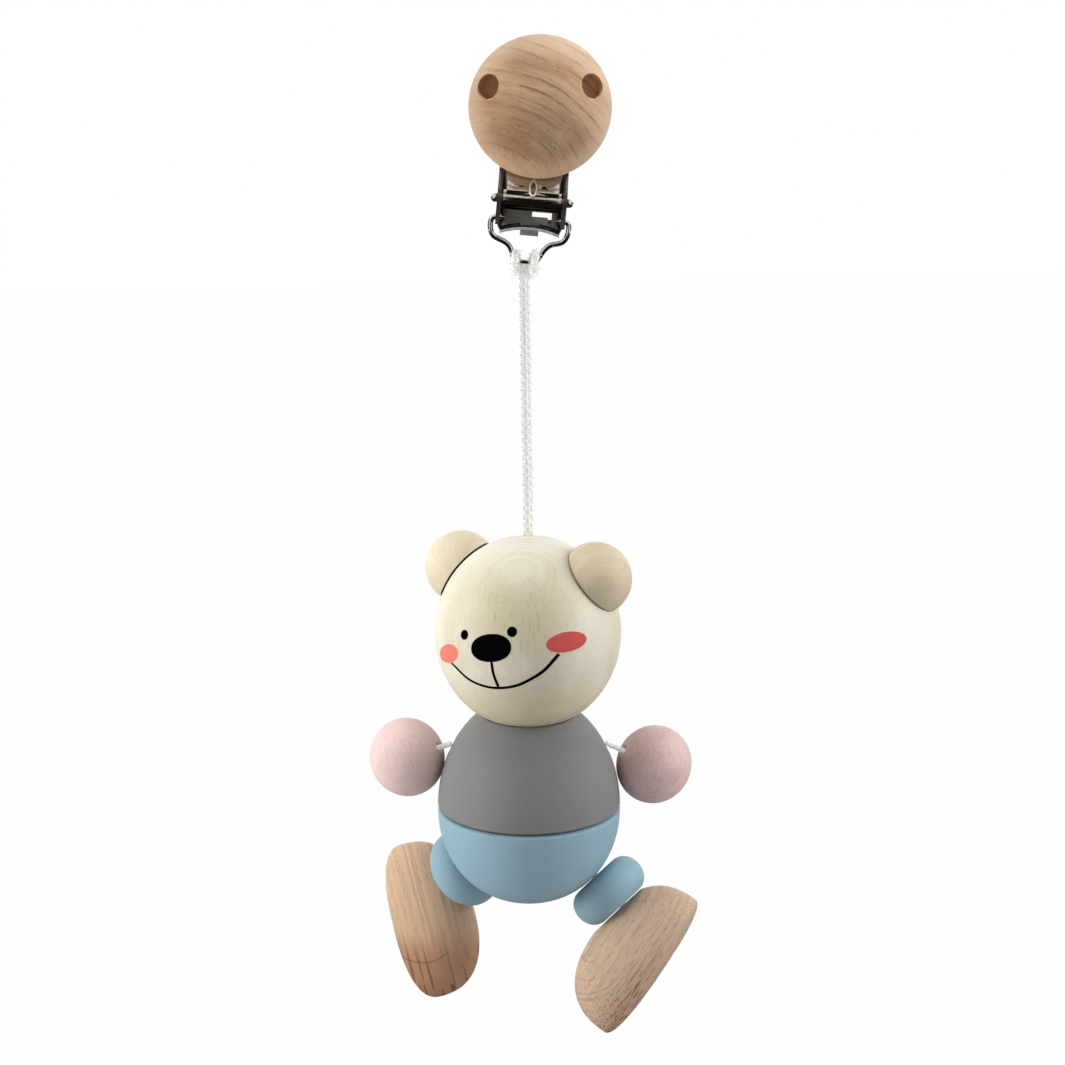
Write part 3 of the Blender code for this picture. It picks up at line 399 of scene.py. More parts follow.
def braided_cord():
    """A braided cord: a core, eight flat yarns, four each way, over and under, and stray fibres."""
    make = Growth("braided_cord", Radius="Float", Pitch="Float", Step="Float", Fibres="Float",
                  Fibre_Length="Float", Seed="Int")
    radius, seed, longest = [make.given[key] for key in ("Radius", "Seed", "Fibre_Length")]
    path = make.node("MeshToCurve", 0, {"Mesh": make.given["Path"]})
    line = make.node("ResampleCurve", 0, {"Curve": path, "Length": make.given["Step"]}, mode="LENGTH")
    core = make.tube(line, radius * 0.76, 8)

    copies, number = make.node("DuplicateElements", ("Geometry", "Duplicate Index"),
                               {"Geometry": line, "Amount": 8}, domain="SPLINE")
    # Odd yarns wind one and a half turns a pitch, even ones half a turn the other way
    way = make.math("MODULO", number, 2.0) * 2.0 - 0.5
    turn = make.math("DIVIDE", 2.0 * pi, make.given["Pitch"])
    run = turn * make.node("SplineParameter", "Length", {})
    angle = way * run + make.math("FLOOR", number / 2.0) * (pi / 2.0)
    lift = radius * (make.math("COSINE", run * 4.0) * way * 0.075 + 0.70)
    across = make.node("InputNormal", "Normal", {})
    along = make.node("InputTangent", 0, {})
    third = make.vector("CROSS_PRODUCT", along, across)
    ray = make.vector("ADD", make.vector("SCALE", across, make.math("COSINE", angle)),
                      make.vector("SCALE", third, make.math("SINE", angle)))
    kept = make.node("StoreNamedAttribute", 0, {"Geometry": copies, "Name": "ray", "Value": ray},
                     data_type="FLOAT_VECTOR", domain="POINT")
    ray = make.node("InputNamedAttribute", 0, {"Name": "ray"}, data_type="FLOAT_VECTOR")
    moved = make.node("SetPosition", 0, {"Geometry": kept, "Offset": make.vector("SCALE", ray, lift)})
    turned = make.node("SetCurveNormal", 0, {"Curve": moved, "Normal": ray}, mode="FREE")
    yarns = make.tube(turned, radius * 0.34, 6, 0.62)

    bend = make.node("CurveQuadraticBezier", 0, {
        "Resolution": 3, "Start": (0.0, 0.0, 0.0), "Middle": (0.1, 0.25, 0.5), "End": (0.5, 0.0, 0.9)})
    fibre = make.tube(bend, 0.045, 3)
    points, facing = make.node("DistributePointsOnFaces", ("Points", "Rotation"),
                               {"Mesh": core, "Density": make.given["Fibres"], "Seed": seed})
    lean = make.node("FunctionNodeRandomValue", 0, {
        "Min": (-1.0, -1.0, -pi), "Max": (1.0, 1.0, pi), "Seed": seed}, data_type="FLOAT_VECTOR")
    lean = make.node("FunctionNodeEulerToRotation", 0, {0: lean})
    lean = make.node("FunctionNodeRotateRotation", 0, {0: facing, 1: lean}, rotation_space="LOCAL")
    size = make.node("FunctionNodeRandomValue", 1, {2: longest * 0.3, 3: longest, "Seed": seed})
    fuzz = make.node("InstanceOnPoints", 0, {"Points": points, "Instance": fibre, "Rotation": lean,
                                                         "Scale": size})
    make.close(core, yarns, fuzz)
    return make


WIRE = swept_wire()
CORD = braided_cord()


class Mix(Nodes):
    """The nodes of one finish."""

    def __init__(self, name, metallic=0.0):
        self.material = bpy.data.materials.new(name)
        self.material.use_nodes = True
        super().__init__(self.material.node_tree)
        self.shader = self.tree.nodes["Principled BSDF"]
        self.set("Metallic", metallic)

    def set(self, name, value):
        """Puts a value or a field on the shader's own socket."""
        self.put(self.shader.inputs[name], value)

    def local(self, at):
        """Object coordinates in a piece's own frame, in millimetres."""
        place = self.node("TexCoord", "Object", {})
        return self.node("Mapping", 0, {
            "Vector": place, "Location": at.translation, "Rotation": at.to_euler(), "Scale": (0.001,) * 3},
            vector_type="TEXTURE")

    def split(self, vector):
        return self.node("SeparateXYZ", (0, 1, 2), {0: vector})

    def stretch(self, vector, scale, move=(0.0, 0.0, 0.0)):
        return self.node("Mapping", 0, {"Vector": vector, "Scale": scale, "Location": move})

    def noise(self, vector, scale, detail=3.0, roughness=0.55):
        return self.node("TexNoise", "Fac", {"Vector": vector, "Scale": scale, "Detail": detail,
                                                       "Roughness": roughness})

    def streaks(self, vector, stretch, detail=3.0, roughness=0.55, move=(0.0, 0.0, 0.0)):
        """Noise in a stretched space."""
        return self.noise(self.stretch(vector, stretch, move), 1.0, detail, roughness)

    def along(self, value, scale, detail, roughness):
        """Noise along one number."""
        return self.node("TexNoise", "Fac", {"W": value, "Scale": scale, "Detail": detail,
                                                       "Roughness": roughness}, noise_dimensions="1D")

    def length(self, *parts):
        """The root of the sum of the parts' squares."""
        total = parts[0] * parts[0]
        for part in parts[1:]:
            total = total + part * part
        return self.math("SQRT", total)

    def blend(self, amount, a, b):
        return self.node("Mix", "Result", {"Factor": amount, "A": a, "B": b}, data_type="RGBA")

    def layers(self, base, *coats):
        """A colour with tints laid over it, each by its amount."""
        for amount, tint in coats:
            base = self.blend(amount, base, tint)
        return base

    def bump(self, height, distance, strength=1.0):
        self.set("Normal", self.node("Bump", "Normal", {"Height": height, "Distance": distance,
                                                                  "Strength": strength}))


def tone(red, green, blue):
    """A colour as it looks on a screen, from 0 to 255, as the shader wants it."""
    parts = [c / 255.0 for c in (red, green, blue)]
    return tuple(c / 12.92 if c <= 0.04045 else ((c + 0.055) / 1.055) ** 2.4 for c in parts) + (1.0,)


def darker(colour, amount):
    return tuple(c * amount for c in colour[:3]) + (1.0,)


# Finishes
def wood(name, at, tones, pith, ring, rings, flecks, fibres, wander, end):
    """Turned beech or maple: growth rings round a pith beside the piece, fibres, and short dark ray flecks."""
    light, dark, fleck = tones
    mix = Mix(name)
    q = mix.local(at)
    x, y, z = mix.split(q)
    away = mix.length(y - pith[0], z - pith[1]) + mix.streaks(q, (0.035, 0.09, 0.09), 2.0) * wander
    bands = mix.along(away, ring, 2.5, 0.62).ramp(0.36, 0.66)
    lines = mix.along(away, ring * 5.0, 1.0, 0.5).ramp(0.42, 0.70)
    strands = mix.streaks(q, (0.10, 3.6, 3.6), 3.0, 0.6)
    cells = mix.node("TexVoronoi", "Distance", {
        "Vector": mix.stretch(q, (0.42, 2.3, 2.3)), "Scale": 1.0, "Randomness": 1.0},
        feature="F1", distance="EUCLIDEAN")
    some = mix.streaks(q, (0.25, 0.7, 0.7), 2.0, move=(7.0, 3.0, 1.0)).ramp(0.44, 0.60)
    spots = cells.ramp(0.30, 0.16) * some
    shade = bands * rings + lines * (rings * 0.35)
    shade = mix.math("ADD", shade, strands.ramp(0.35, 0.75) * fibres, use_clamp=True)
    base = mix.layers(light, (shade, dark), (spots * flecks, fleck))
    mix.set("Base Color", end(mix, q, (x, y, z), base))
    mix.bump(strands * 0.5 - spots * 0.6, 0.00006, 0.55)
    mix.set("Roughness", strands.ramp(0.2, 0.8, 0.45, 0.58))
    return mix.material


def disc_beech(name, at):
    """Beech cut across its rings: arcs round a pith beside the disc, and broken pore lines along them."""
    light, dark, deep = tone(202, 170, 136), tone(168, 128, 95), tone(108, 70, 42)
    mix = Mix(name)
    q = mix.local(at)
    x, y, z = mix.split(q)
    dy, dz = y + 9.1, z + 20.0
    away = mix.length(dy, dz) + mix.streaks(q, (0.04, 0.06, 0.06), 1.5) * 1.8
    turn = mix.math("ARCTAN2", dz, dy) * 24.0
    arcs = mix.node("CombineXYZ", "Vector", {"X": turn, "Y": away, "Z": x})
    clouds = mix.streaks(arcs, (0.05, 0.22, 0.05)).ramp(0.34, 0.66)
    ring = mix.math("FRACT", away * 0.46)
    strong = mix.along(away, 0.75, 1.0, 0.5).ramp(0.30, 0.60, 0.35)
    broken = mix.streaks(arcs, (0.16, 1.1, 0.1), move=(3.0, 1.0, 8.0)).ramp(0.38, 0.55)
    edge = ring.ramp(0.62, 0.98) * (strong * broken)
    fine = mix.streaks(arcs, (0.20, 4.2, 0.4), 3.0, 0.6)
    pores = mix.streaks(arcs, (0.62, 5.6, 0.8), 2.0, 0.5, (5.0, 2.0, 4.0)).ramp(0.59, 0.68)
    pores = pores * mix.along(away, 0.42, 1.0, 0.5).ramp(0.38, 0.62, 0.25)
    combs = mix.streaks(q, (0.35, 3.0, 0.30), 2.0).ramp(0.50, 0.66) * z.ramp(-5.5, -11.5)
    skin = 1000.0 * DOME
    floor = 5.0 - 1000.0 * DOME_CENTRE
    bore = mix.length(x, y, z).ramp(skin - 0.2, skin - 0.7) * x.ramp(floor, floor + 1.0)
    # The lighter rim is a painted highlight and the darker left side is painted shade; the disc also turns
    # lighter towards the bottom.
    mix.set("Base Color", mix.layers(
        light, (clouds * 0.85, dark), (fine.ramp(0.36, 0.72) * 0.50, dark), (edge * 0.72, deep),
        (pores * 0.75, deep), (combs * 0.45, deep),
        (mix.length(y, z).ramp(9.5, 14.6, 0.0, 0.55), tone(224, 197, 170)),
        (y.ramp(1.0, -7.0, 0.0, 0.33), tone(130, 94, 52)),
        (z.ramp(-8.0, -12.5, 0.0, 0.30), tone(226, 180, 132)), (bore, tone(238, 192, 152))))
    mix.bump((pores + edge + combs) * -0.7 + fine, 0.00007, 0.6)
    mix.set("Roughness", fine.ramp(0.2, 0.8, 0.42, 0.58))
    return mix.material


def head_maple(name, at):
    """Pale turned maple: faint arcs round the top bore, short dashes down the front, painted shade on the front
    middle, a painted lighter top and painted shade at the bottom.
    """
    light, dark, deep = tone(227, 221, 203), tone(206, 195, 168), tone(172, 154, 118)
    mix = Mix(name)
    q = mix.local(at)
    x, y, z = mix.split(q)
    tall = mix.streaks(q, (0.07, 2.4, 2.4), 4.0, 0.62)
    clouds = mix.streaks(q, (0.05, 0.11, 0.11)).ramp(0.36, 0.66)
    away = mix.length((y + 2.5) * 0.5, z + 15.5) + mix.streaks(q, (0.10, 0.10, 0.10), 2.0) * 2.2
    rings = mix.along(away, 1.5, 2.0, 0.6).ramp(0.44, 0.68) * x.ramp(4.0, 11.0)
    # Painted shade: the front middle of the head is darker, where less light falls; the dashes crowd there too.
    shaded_front = abs(y + 2.0).ramp(14.0, 3.0) * (x.ramp(-9.0, 2.0) * x.ramp(13.0, 6.0))
    dashes = mix.streaks(q, (0.20, 3.0, 3.0), 2.0, move=(9.0, 4.0, 2.0)).ramp(0.54, 0.70) * (shaded_front * 0.50 + 0.10)
    # Painted light and shade in the colour: the darker front middle, a lighter top, and a darker, warmer
    # bottom.
    mix.set("Base Color", mix.layers(
        light, (clouds * 0.55, dark), (tall.ramp(0.36, 0.74) * 0.45, dark), (shaded_front * 0.85, tone(198, 186, 154)),
        (x.ramp(12.0, 18.0, 0.0, 0.6), tone(246, 240, 224)),
        (x.ramp(-8.0, -18.0, 0.0, 0.5), tone(200, 180, 142)), (rings * 0.55, dark), (dashes, deep)))
    mix.bump(tall, 0.00003, 0.4)
    mix.set("Roughness", tall.ramp(0.2, 0.8, 0.50, 0.60))
    mix.set("Coat Weight", 0.06)
    mix.set("Coat Roughness", 0.35)
    return mix.material


def painted(name, at, colour, shade, roughness, grain, flecks):
    """Matt paint or stain on turned wood, with the grain faintly through it."""
    mix = Mix(name)
    q = mix.local(at)
    strands = mix.streaks(q, (0.09, 2.6, 2.6), 4.0, 0.62)
    clouds = mix.streaks(q, (0.10, 0.16, 0.16), 2.0)
    pores = mix.streaks(q, (0.55, 5.5, 5.5), 2.0, 0.5).ramp(0.60, 0.74)
    amount = strands.ramp(0.30, 0.72) * grain + clouds.ramp(0.3, 0.7) * (grain * 0.6)
    amount = mix.math("ADD", amount, pores * flecks, use_clamp=True)
    mix.set("Base Color", mix.blend(amount, colour, shade))
    mix.bump(strands + pores * -0.6, 0.00005, 0.5)
    mix.set("Roughness", clouds.ramp(0.3, 0.7, roughness - 0.05, roughness + 0.05))
    return mix.material


def steel(name, colour, roughness, metallic=1.0, special=None):
    """Polished plate with fine marks of use; special adds the forms of one piece, in millimetres."""
    mix = Mix(name, metallic)
    q = mix.local(CLIP)
    haze = mix.noise(q, 0.9, 4.0, 0.6)
    marks = mix.streaks(q, (0.5, 9.0, 9.0), 2.0).ramp(0.55, 0.75)
    base = mix.blend(haze.ramp(0.3, 0.75), colour, darker(colour, 0.8))
    height = mix.noise(q, 1.6, 3.0) * 0.014
    if special is not None:
        base, height = special(mix, *mix.split(q), base, height)
    mix.set("Base Color", base)
    mix.set("Roughness", marks * 0.08 + haze.ramp(0.3, 0.8, roughness - 0.04, roughness + 0.08))
    mix.bump(height, 0.001)
    return mix.material


def ears_and_lip(mix, x, y, z, base, height):
    """The base plate: painted dark reflections on its ears, and a painted dark reflection line and a painted
    highlight strip along the arched lip.
    """
    below = x * x * -0.03 + -5.3 - z
    # Painted reflections: dark on the ears and along the lip, a painted highlight strip below it.
    return mix.layers(base, (abs(x).ramp(5.6, 5.9), darker(BASE_TONE, 0.22)),
                      (below.ramp(-0.10, -0.02), tone(34, 30, 25)),
                      (below.ramp(0.20, 0.28), tone(252, 250, 244))), height


def lobes_and_rib(mix, x, y, z, base, height):
    """The lever: two dished lobes above a barrel with a painted dark reflection below, and a painted highlight
    ring round the rib between them.
    """
    off = abs(x) - 3.4
    edge = off * off * 0.08 + 2.9
    above = mix.math("MAXIMUM", z - edge, 0.0)
    strip = mix.math("MAXIMUM", mix.math("MINIMUM", z, edge) - 1.9, 0.0)
    away = mix.length(x / 0.85, (z - 2.75) / 1.85)
    # Painted highlight: a bright, barely metallic ring round the rib.
    rib_highlight = abs(away - 0.85).ramp(0.22, 0.12)
    mix.set("Metallic", rib_highlight.ramp(0.0, 1.0, 1.0, 0.1))
    # Painted dark reflection on the barrel's lower part, then the painted highlight round the rib.
    base = mix.layers(base, (z.ramp(-0.9, -1.3), tone(44, 37, 32)), (rib_highlight, tone(244, 236, 214)))
    return base, height + (above * -0.67 + strip * -0.9)


def plain(name, colour, roughness, speckle=6.0, depth=0.00002, more=None):
    """One tone with a fine speckle; more holds other values of the shader."""
    mix = Mix(name)
    speck = mix.noise(mix.local(Matrix.Identity(4)), speckle, 3.0)
    mix.set("Base Color", mix.blend(speck.ramp(0.3, 0.75), colour, darker(colour, 0.88)))
    mix.bump(speck, depth, 0.5)
    mix.set("Roughness", roughness)
    for socket, value in (more or {}).items():
        mix.set(socket, value)
    return mix.material


# The faint emission is painted light: the white cord glows a little in place of the light that shines through
# cotton.
WHITE_CORD = plain("white_cord", tone(246, 247, 244), 0.9, 9.0, 0.00001,
                   {"Emission Color": (1.0, 1.0, 0.98, 1.0), "Emission Strength": 0.15})
NICKEL = steel("nickel", tone(222, 219, 214), 0.12)
LEVER_NICKEL = steel("lever_nickel", tone(196, 190, 182), 0.13, special=lobes_and_rib)
BASE_TONE = tone(176, 168, 150)
BASE_NICKEL = steel("base_nickel", BASE_TONE, 0.28, 0.6, ears_and_lip)
LEAF_NICKEL = steel("leaf_nickel", tone(196, 194, 186), 0.4, 0.5)
ZINC = steel("zinc", tone(170, 170, 172), 0.3)
PAD_PLASTIC = plain("pad_plastic", tone(225, 225, 222), 0.4)
BLACK_PRINT = plain("black_print", tone(6, 5, 5), 0.6, more={"Specular IOR Level": 0.02})

DISC_RADIUS = 0.0147
DISC_EDGE = 0.0025
DISC_RISE = 0.0110
DISC_AT = FRONT @ Matrix.Translation((0.0, 0.0197, 0.0035))
DOME = (DISC_RADIUS ** 2 + DISC_RISE ** 2) / (2.0 * DISC_RISE)
DOME_CENTRE = DISC_EDGE + DISC_RISE - DOME
BEECH_DISC = disc_beech("beech_disc", grain_at(DISC_AT @ Vector((0.0, 0.0, DOME_CENTRE)), -CLIP_Y, CLIP_X))
MAPLE_HEAD = head_maple("maple_head", grain_at(HEAD.translation, HEAD_Z, HEAD_TURN @ LEVEL))

# Wooden disc with two slanted holes
HOLE_SLANT = radians(19.0)
disc_profile = arc(40, DOME, DOME, 0.0, asin(DISC_RADIUS / DOME), (0.0, DOME_CENTRE))
disc_profile += [(DISC_RADIUS, 0.0005), (0.0142, 0.0), (0.0, 0.0)]
disc = lathe("beech_disc", rounded(disc_profile, 0.0006), DISC_AT, 128)
pattern = DISC_AT @ Matrix.Rotation(radians(5.1), 4, "Z")
for side, x in SIDES:
    across = Vector((x * 0.0108, 0.0045, 0.0))
    mouth = pattern @ Vector((across.x, across.y, DOME_CENTRE + sqrt(DOME ** 2 - across.length ** 2)))
    outward = across.normalized() * sin(HOLE_SLANT) + Vector((0.0, 0.0, cos(HOLE_SLANT)))
    hole_at = axes(mouth, CLIP_X, pattern.to_3x3() @ outward)
    carve(disc, drill("disc_hole_" + side, 0.0026, -0.0046, 0.0060, hole_at, 0.00012, 48))
dressed(disc, BEECH_DISC, "lever", "wooden_disc")


# Head, ears and printed face
def low_reach(a):
    """How far the lower half of the head reaches at an angle from straight down."""
    return min(HEAD_SEAT, 1.0 / sqrt((sin(a) / HEAD_RADIUS) ** 2 + (cos(a) / HEAD_DEPTH) ** 2))


CORD_BORE = 0.0021
lower_flat = asin(HEAD_FLAT / HEAD_SEAT)
head_profile = [(0.0024, HEAD_TOP_RISE)]
head_profile += arc(24, HEAD_RADIUS, HEAD_RISE, asin(HEAD_FLAT / HEAD_RADIUS), pi / 2.0)
for i in range(1, 29):
    a = pi / 2.0 - (pi / 2.0 - lower_flat) * i / 28.0
    head_profile.append((low_reach(a) * sin(a), -low_reach(a) * cos(a)))
head_drop = head_profile[-1][1]
head_profile += [(0.0024, head_drop), (CORD_BORE, head_drop + 0.0006), (CORD_BORE, HEAD_TOP_RISE - 0.0006)]
dressed(lathe("maple_head", head_profile, HEAD, 128, True, 40.0), MAPLE_HEAD, "head", "head")


def off_head(mix, at, *reach):
    """How far a point lies from the middle of the head along some axes, 1 on its surface."""
    parts = mix.split(mix.local(at))
    return mix.length(*[part * (0.001 / size) for part, size in zip(parts, reach)])


def joint_shadow_left(mix, q, parts, base):
    """The painted shadow in the gap where the left ear goes behind the head."""
    behind = off_head(mix, grain_at(HEAD.translation, RIGHT, UP), HEAD_RADIUS, HEAD_RISE).ramp(1.0225, 1.0210)
    near = off_head(mix, HEAD, HEAD_RADIUS, HEAD_RADIUS, HEAD_RISE).ramp(1.055, 1.045)
    return mix.blend(behind * near, base, tone(12, 10, 8))


def joint_shadow_right(mix, q, parts, base):
    """A thinner painted shadow at the joint of the right ear, which stands before the head."""
    near = off_head(mix, HEAD, HEAD_RADIUS, HEAD_RADIUS, HEAD_RISE).ramp(1.028, 1.020, 0.0, 0.7)
    return mix.blend(near, base, tone(70, 66, 48))


EAR_RADIUS = 0.0077
EAR_GAP = 0.00022
SOCKET = arc(24, HEAD_RADIUS + EAR_GAP, HEAD_RISE + EAR_GAP, 0.0, pi / 2.0)
SOCKET += arc(24, HEAD_RADIUS + EAR_GAP, HEAD_DEPTH + EAR_GAP, pi / 2.0, pi)[1:]
# The left ear's paler tones and the right ear's darker ones are painted light and shade: the same maple, copied
# lighter on the side the strong light falls.
EARS = (("left", (-0.01407, 0.0074, 0.0137), (HEAD_TURN @ Vector((0.25, 0.55, 0.8)), HEAD_Z),
         (tone(226, 214, 188), tone(218, 203, 175), tone(206, 186, 152)), (2.0, -3.0), joint_shadow_left),
        ("right", (0.01399, -0.0074, 0.0109), (LOOK, LEVEL),
         (tone(214, 199, 170), tone(200, 183, 153), tone(176, 155, 123)), (1.8, 0.9), joint_shadow_right))
for side, centre, grain, tones, pith, joint_shadow in EARS:
    ear_at = axes(HEAD @ Vector(centre), HEAD_Z, HEAD_TURN @ Vector(centre).normalized())
    ear = lathe("maple_ear_" + side, arc(40, EAR_RADIUS, EAR_RADIUS, 0.0, pi), ear_at, 72)
    carve(ear, lathe("socket_" + side, SOCKET, HEAD, 128, sharp=None))
    ear_grain = grain_at(ear_at.translation, *grain)
    look = wood("maple_ear_" + side, ear_grain, tones, pith, 0.75, 0.6, 0.2, 0.3, 1.4, joint_shadow)
    dressed(ear, look, "head", "ear_" + side)


def on_head(x, y, lift):
    """The point of the head seen through a pixel, lifted off its surface."""
    start = HEAD.inverted() @ EYE
    way = (HEAD_TURN.inverted() @ sight(x, y)).normalized()

    def outside(t):
        p = start + way * t
        a = atan2(sqrt(p.x * p.x + p.y * p.y), abs(p.z))
        if p.z > 0.0:
            return p.length - 1.0 / sqrt((sin(a) / HEAD_RADIUS) ** 2 + (cos(a) / HEAD_RISE) ** 2)
        return p.length - low_reach(a)
    high = -start.dot(way)
    low = high - 0.03
    for _ in range(40):
        middle = (low + high) / 2.0
        if outside(middle) > 0.0:
            low = middle
        else:
            high = middle
    p = start + way * low
    return HEAD @ (p * (1.0 + lift / p.length))


def mark(shape, grid):
    """A thin print on the head from a grid of pixels, closed at the back and sides."""
    top = [[shape.verts.new(on_head(x, y, 0.00003)) for x, y in row] for row in grid]
    low = [[shape.verts.new(on_head(x, y, -0.00012)) for x, y in row] for row in grid]
    rows = len(grid)
    cols = len(grid[0])
    for i in range(rows - 1):
        for k in range(cols - 1):
            shape.faces.new((top[i][k], top[i][k + 1], top[i + 1][k + 1], top[i + 1][k]))
            shape.faces.new((low[i][k], low[i + 1][k], low[i + 1][k + 1], low[i][k + 1]))
    edge = [(0, k) for k in range(cols)] + [(i, cols - 1) for i in range(1, rows)]
    edge += [(rows - 1, k) for k in range(cols - 2, -1, -1)] + [(i, 0) for i in range(rows - 2, 0, -1)]
    for (i, k), (m, n) in zip(edge, edge[1:] + edge[:1]):
        shape.faces.new((top[i][k], low[i][k], low[m][n], top[m][n]))


def spot(shape, x, y, width, height, lean=0.0, power=2.0, count=20):
    """A filled oval mark: a square grid pushed out to the oval."""
    grid = []
    for i in range(count + 1):
        row = []
        for k in range(count + 1):
            a = 2.0 * i / count - 1.0
            b = 2.0 * k / count - 1.0
            far = max(abs(a), abs(b))
            if far > 0.0:
                size = (abs(a) ** power + abs(b) ** power) ** (1.0 / power)
                a, b = a * far / size, b * far / size
            px = b * width / 2.0
            py = a * height / 2.0
            row.append((x + px * cos(lean) - py * sin(lean), y + px * sin(lean) + py * cos(lean)))
        grid.append(row)
    mark(shape, grid)


def line(shape, *points):
    """A drawn line through (x, y, width) points in pixels."""
    path = smooth_path(points, 10)
    grid = []
    for before, p, after in zip(path[:1] + path, path, path[1:] + path[-1:]):
        q = after - before
        side = Vector((-q.y, q.x)).normalized()
        half = p.z / 2.0
        grid.append([(p.x + side.x * half * s, p.y + side.y * half * s) for s in (-1.0, -0.5, 0.0, 0.5, 1.0)])
    mark(shape, grid)


black = bmesh.new()
spot(black, 464.5, 634.8, 7.3, 10.0, 0.1)
spot(black, 512.0, 631.8, 10.0, 10.5, 0.1)
spot(black, 491.2, 648.0, 40.0, 28.0, -0.06, 2.15, 28)
line(black, (451.7, 663.0, 1.6), (468.0, 678.6, 1.9), (484.0, 686.0, 2.2), (499.4, 688.0, 2.4),
     (514.6, 686.0, 2.6), (527.6, 680.8, 2.8), (543.9, 670.5, 3.1), (559.0, 654.0, 3.3))
line(black, (491.3, 661.0, 2.4), (493.4, 673.7, 2.5), (498.3, 686.8, 2.6))
face_black = settle("face_black", black, sharp=40.0)
dressed(face_black, BLACK_PRINT, "head")
# The right cheek's darker coral is painted shade: the same print as the left, copied darker on the less lit
# side.
for name, shade, place in (("cheek_left", tone(236, 126, 112), (449.0, 653.5, 18.0, 19.0)),
                           ("cheek_right", tone(206, 82, 78), (566.4, 642.0, 41.0, 20.0, -0.2))):
    coral = bmesh.new()
    spot(coral, *place)
    cheek = settle(name, coral, sharp=40.0)
    dressed(cheek, plain(name, shade, 0.6), "head")

# Body: jacket and trousers
BODY_GRAIN = grain_at(BODY.translation, BODY_Z, BODY_TURN @ LEVEL)
GREY_PAINT = painted("grey_paint", BODY_GRAIN, tone(129, 130, 129), tone(120, 120, 119), 0.6, 0.4, 0.15)
BLUE_PAINT = painted("blue_paint", BODY_GRAIN, tone(146, 177, 192), tone(136, 165, 178), 0.55, 0.4, 0.12)
SEAM = 0.00015
band_radius = RIM_RADIUS - 0.0018
band_height = HEAD_ABOVE_SEAM - sqrt(DISH_RADIUS ** 2 - band_radius ** 2)
jacket_profile = arc(32, BODY_RADIUS, JACKET_EGG, acos(JACKET_RIM / JACKET_EGG), pi / 2.0)
jacket_profile[0] = (jacket_profile[0][0] - 0.00008, jacket_profile[0][1] + 0.00018)
jacket_profile[-1] = (BODY_RADIUS, 0.00065)
jacket_profile += [(BODY_RADIUS - 0.0005, SEAM), (CORD_BORE, SEAM), (CORD_BORE, 0.0120),
                   (band_radius, band_height)]
jacket = lathe("grey_jacket", rounded(jacket_profile, 0.0003, 3, True), BODY, 128, True)
ARM_HEIGHT = 0.0130
ARM_BACK = 0.0026
arm_level = BODY_RADIUS * sqrt(1.0 - (ARM_HEIGHT / JACKET_EGG) ** 2)
arm_mouth = sqrt(arm_level ** 2 - ARM_BACK ** 2)
for side, x in SIDES:
    mouth = BODY @ Vector((x * arm_mouth, ARM_BACK, ARM_HEIGHT))
    hole_at = axes(mouth, BODY_Z, BODY_TURN @ Vector((x, 0.12, 0.0)))
    carve(jacket, drill("arm_hole_" + side, 0.0014, -0.0120, 0.0060, hole_at, 0.00035, 40))
dressed(jacket, GREY_PAINT, "jacket", "jacket")

KNOT_ROOM = 0.0034
KNOT_FLOOR = -0.0159
trouser_profile = [(CORD_BORE, -SEAM), (BODY_RADIUS - 0.0005, -SEAM), (BODY_RADIUS, -0.00065)]
for i in range(1, 37):
    a = pi / 2.0 * i / 37.0
    radius = BODY_RADIUS * cos(a) ** (2.0 / TROUSER_POWER)
    if radius > 0.0042:
        trouser_profile.append((radius, -TROUSER_DEPTH * sin(a) ** (2.0 / TROUSER_POWER)))
trouser_profile += [(0.0037, -TROUSER_DEPTH), (KNOT_ROOM, 0.0003 - TROUSER_DEPTH), (KNOT_ROOM, KNOT_FLOOR),
                    (CORD_BORE, KNOT_FLOOR)]
trousers = lathe("blue_trousers", rounded(trouser_profile, 0.0003, 3, True), HIPS, 128, True)
HIP_BACK = 0.0040
HIP_DROP = 0.0154
hip_level = BODY_RADIUS * (1.0 - (HIP_DROP / TROUSER_DEPTH) ** TROUSER_POWER) ** (1.0 / TROUSER_POWER)
hip_level = sqrt(hip_level ** 2 - HIP_BACK ** 2)
apex = Vector((0.0, HIP_BACK, -0.0060))
for side, x in SIDES:
    mouth = Vector((x * hip_level, HIP_BACK, -HIP_DROP))
    hole_at = axes(HIPS @ mouth, BODY_Z, HIPS.to_3x3() @ (mouth - apex))
    carve(trousers, drill("hip_hole_" + side, 0.0013, -0.0100, 0.0040, hole_at, 0.0002, 32))
dressed(trousers, BLUE_PAINT, "trousers", "trousers")

# Hands
HAND_RADIUS = 0.0084
HAND_HEIGHT = 0.0079
HAND_BORE = 0.00095
HAND_RECESS = 0.0019
RECESS_FLOOR = 0.0045
hand_profile = arc(40, HAND_RADIUS, HAND_HEIGHT, asin(HAND_RECESS * 1.1 / HAND_RADIUS),
                   pi - asin(HAND_BORE * 1.4 / HAND_RADIUS))
hand_profile += [(HAND_BORE, hand_profile[-1][1] + 0.0003), (HAND_BORE, RECESS_FLOOR),
                 (HAND_RECESS, RECESS_FLOOR), (HAND_RECESS, hand_profile[0][1] - 0.0002)]
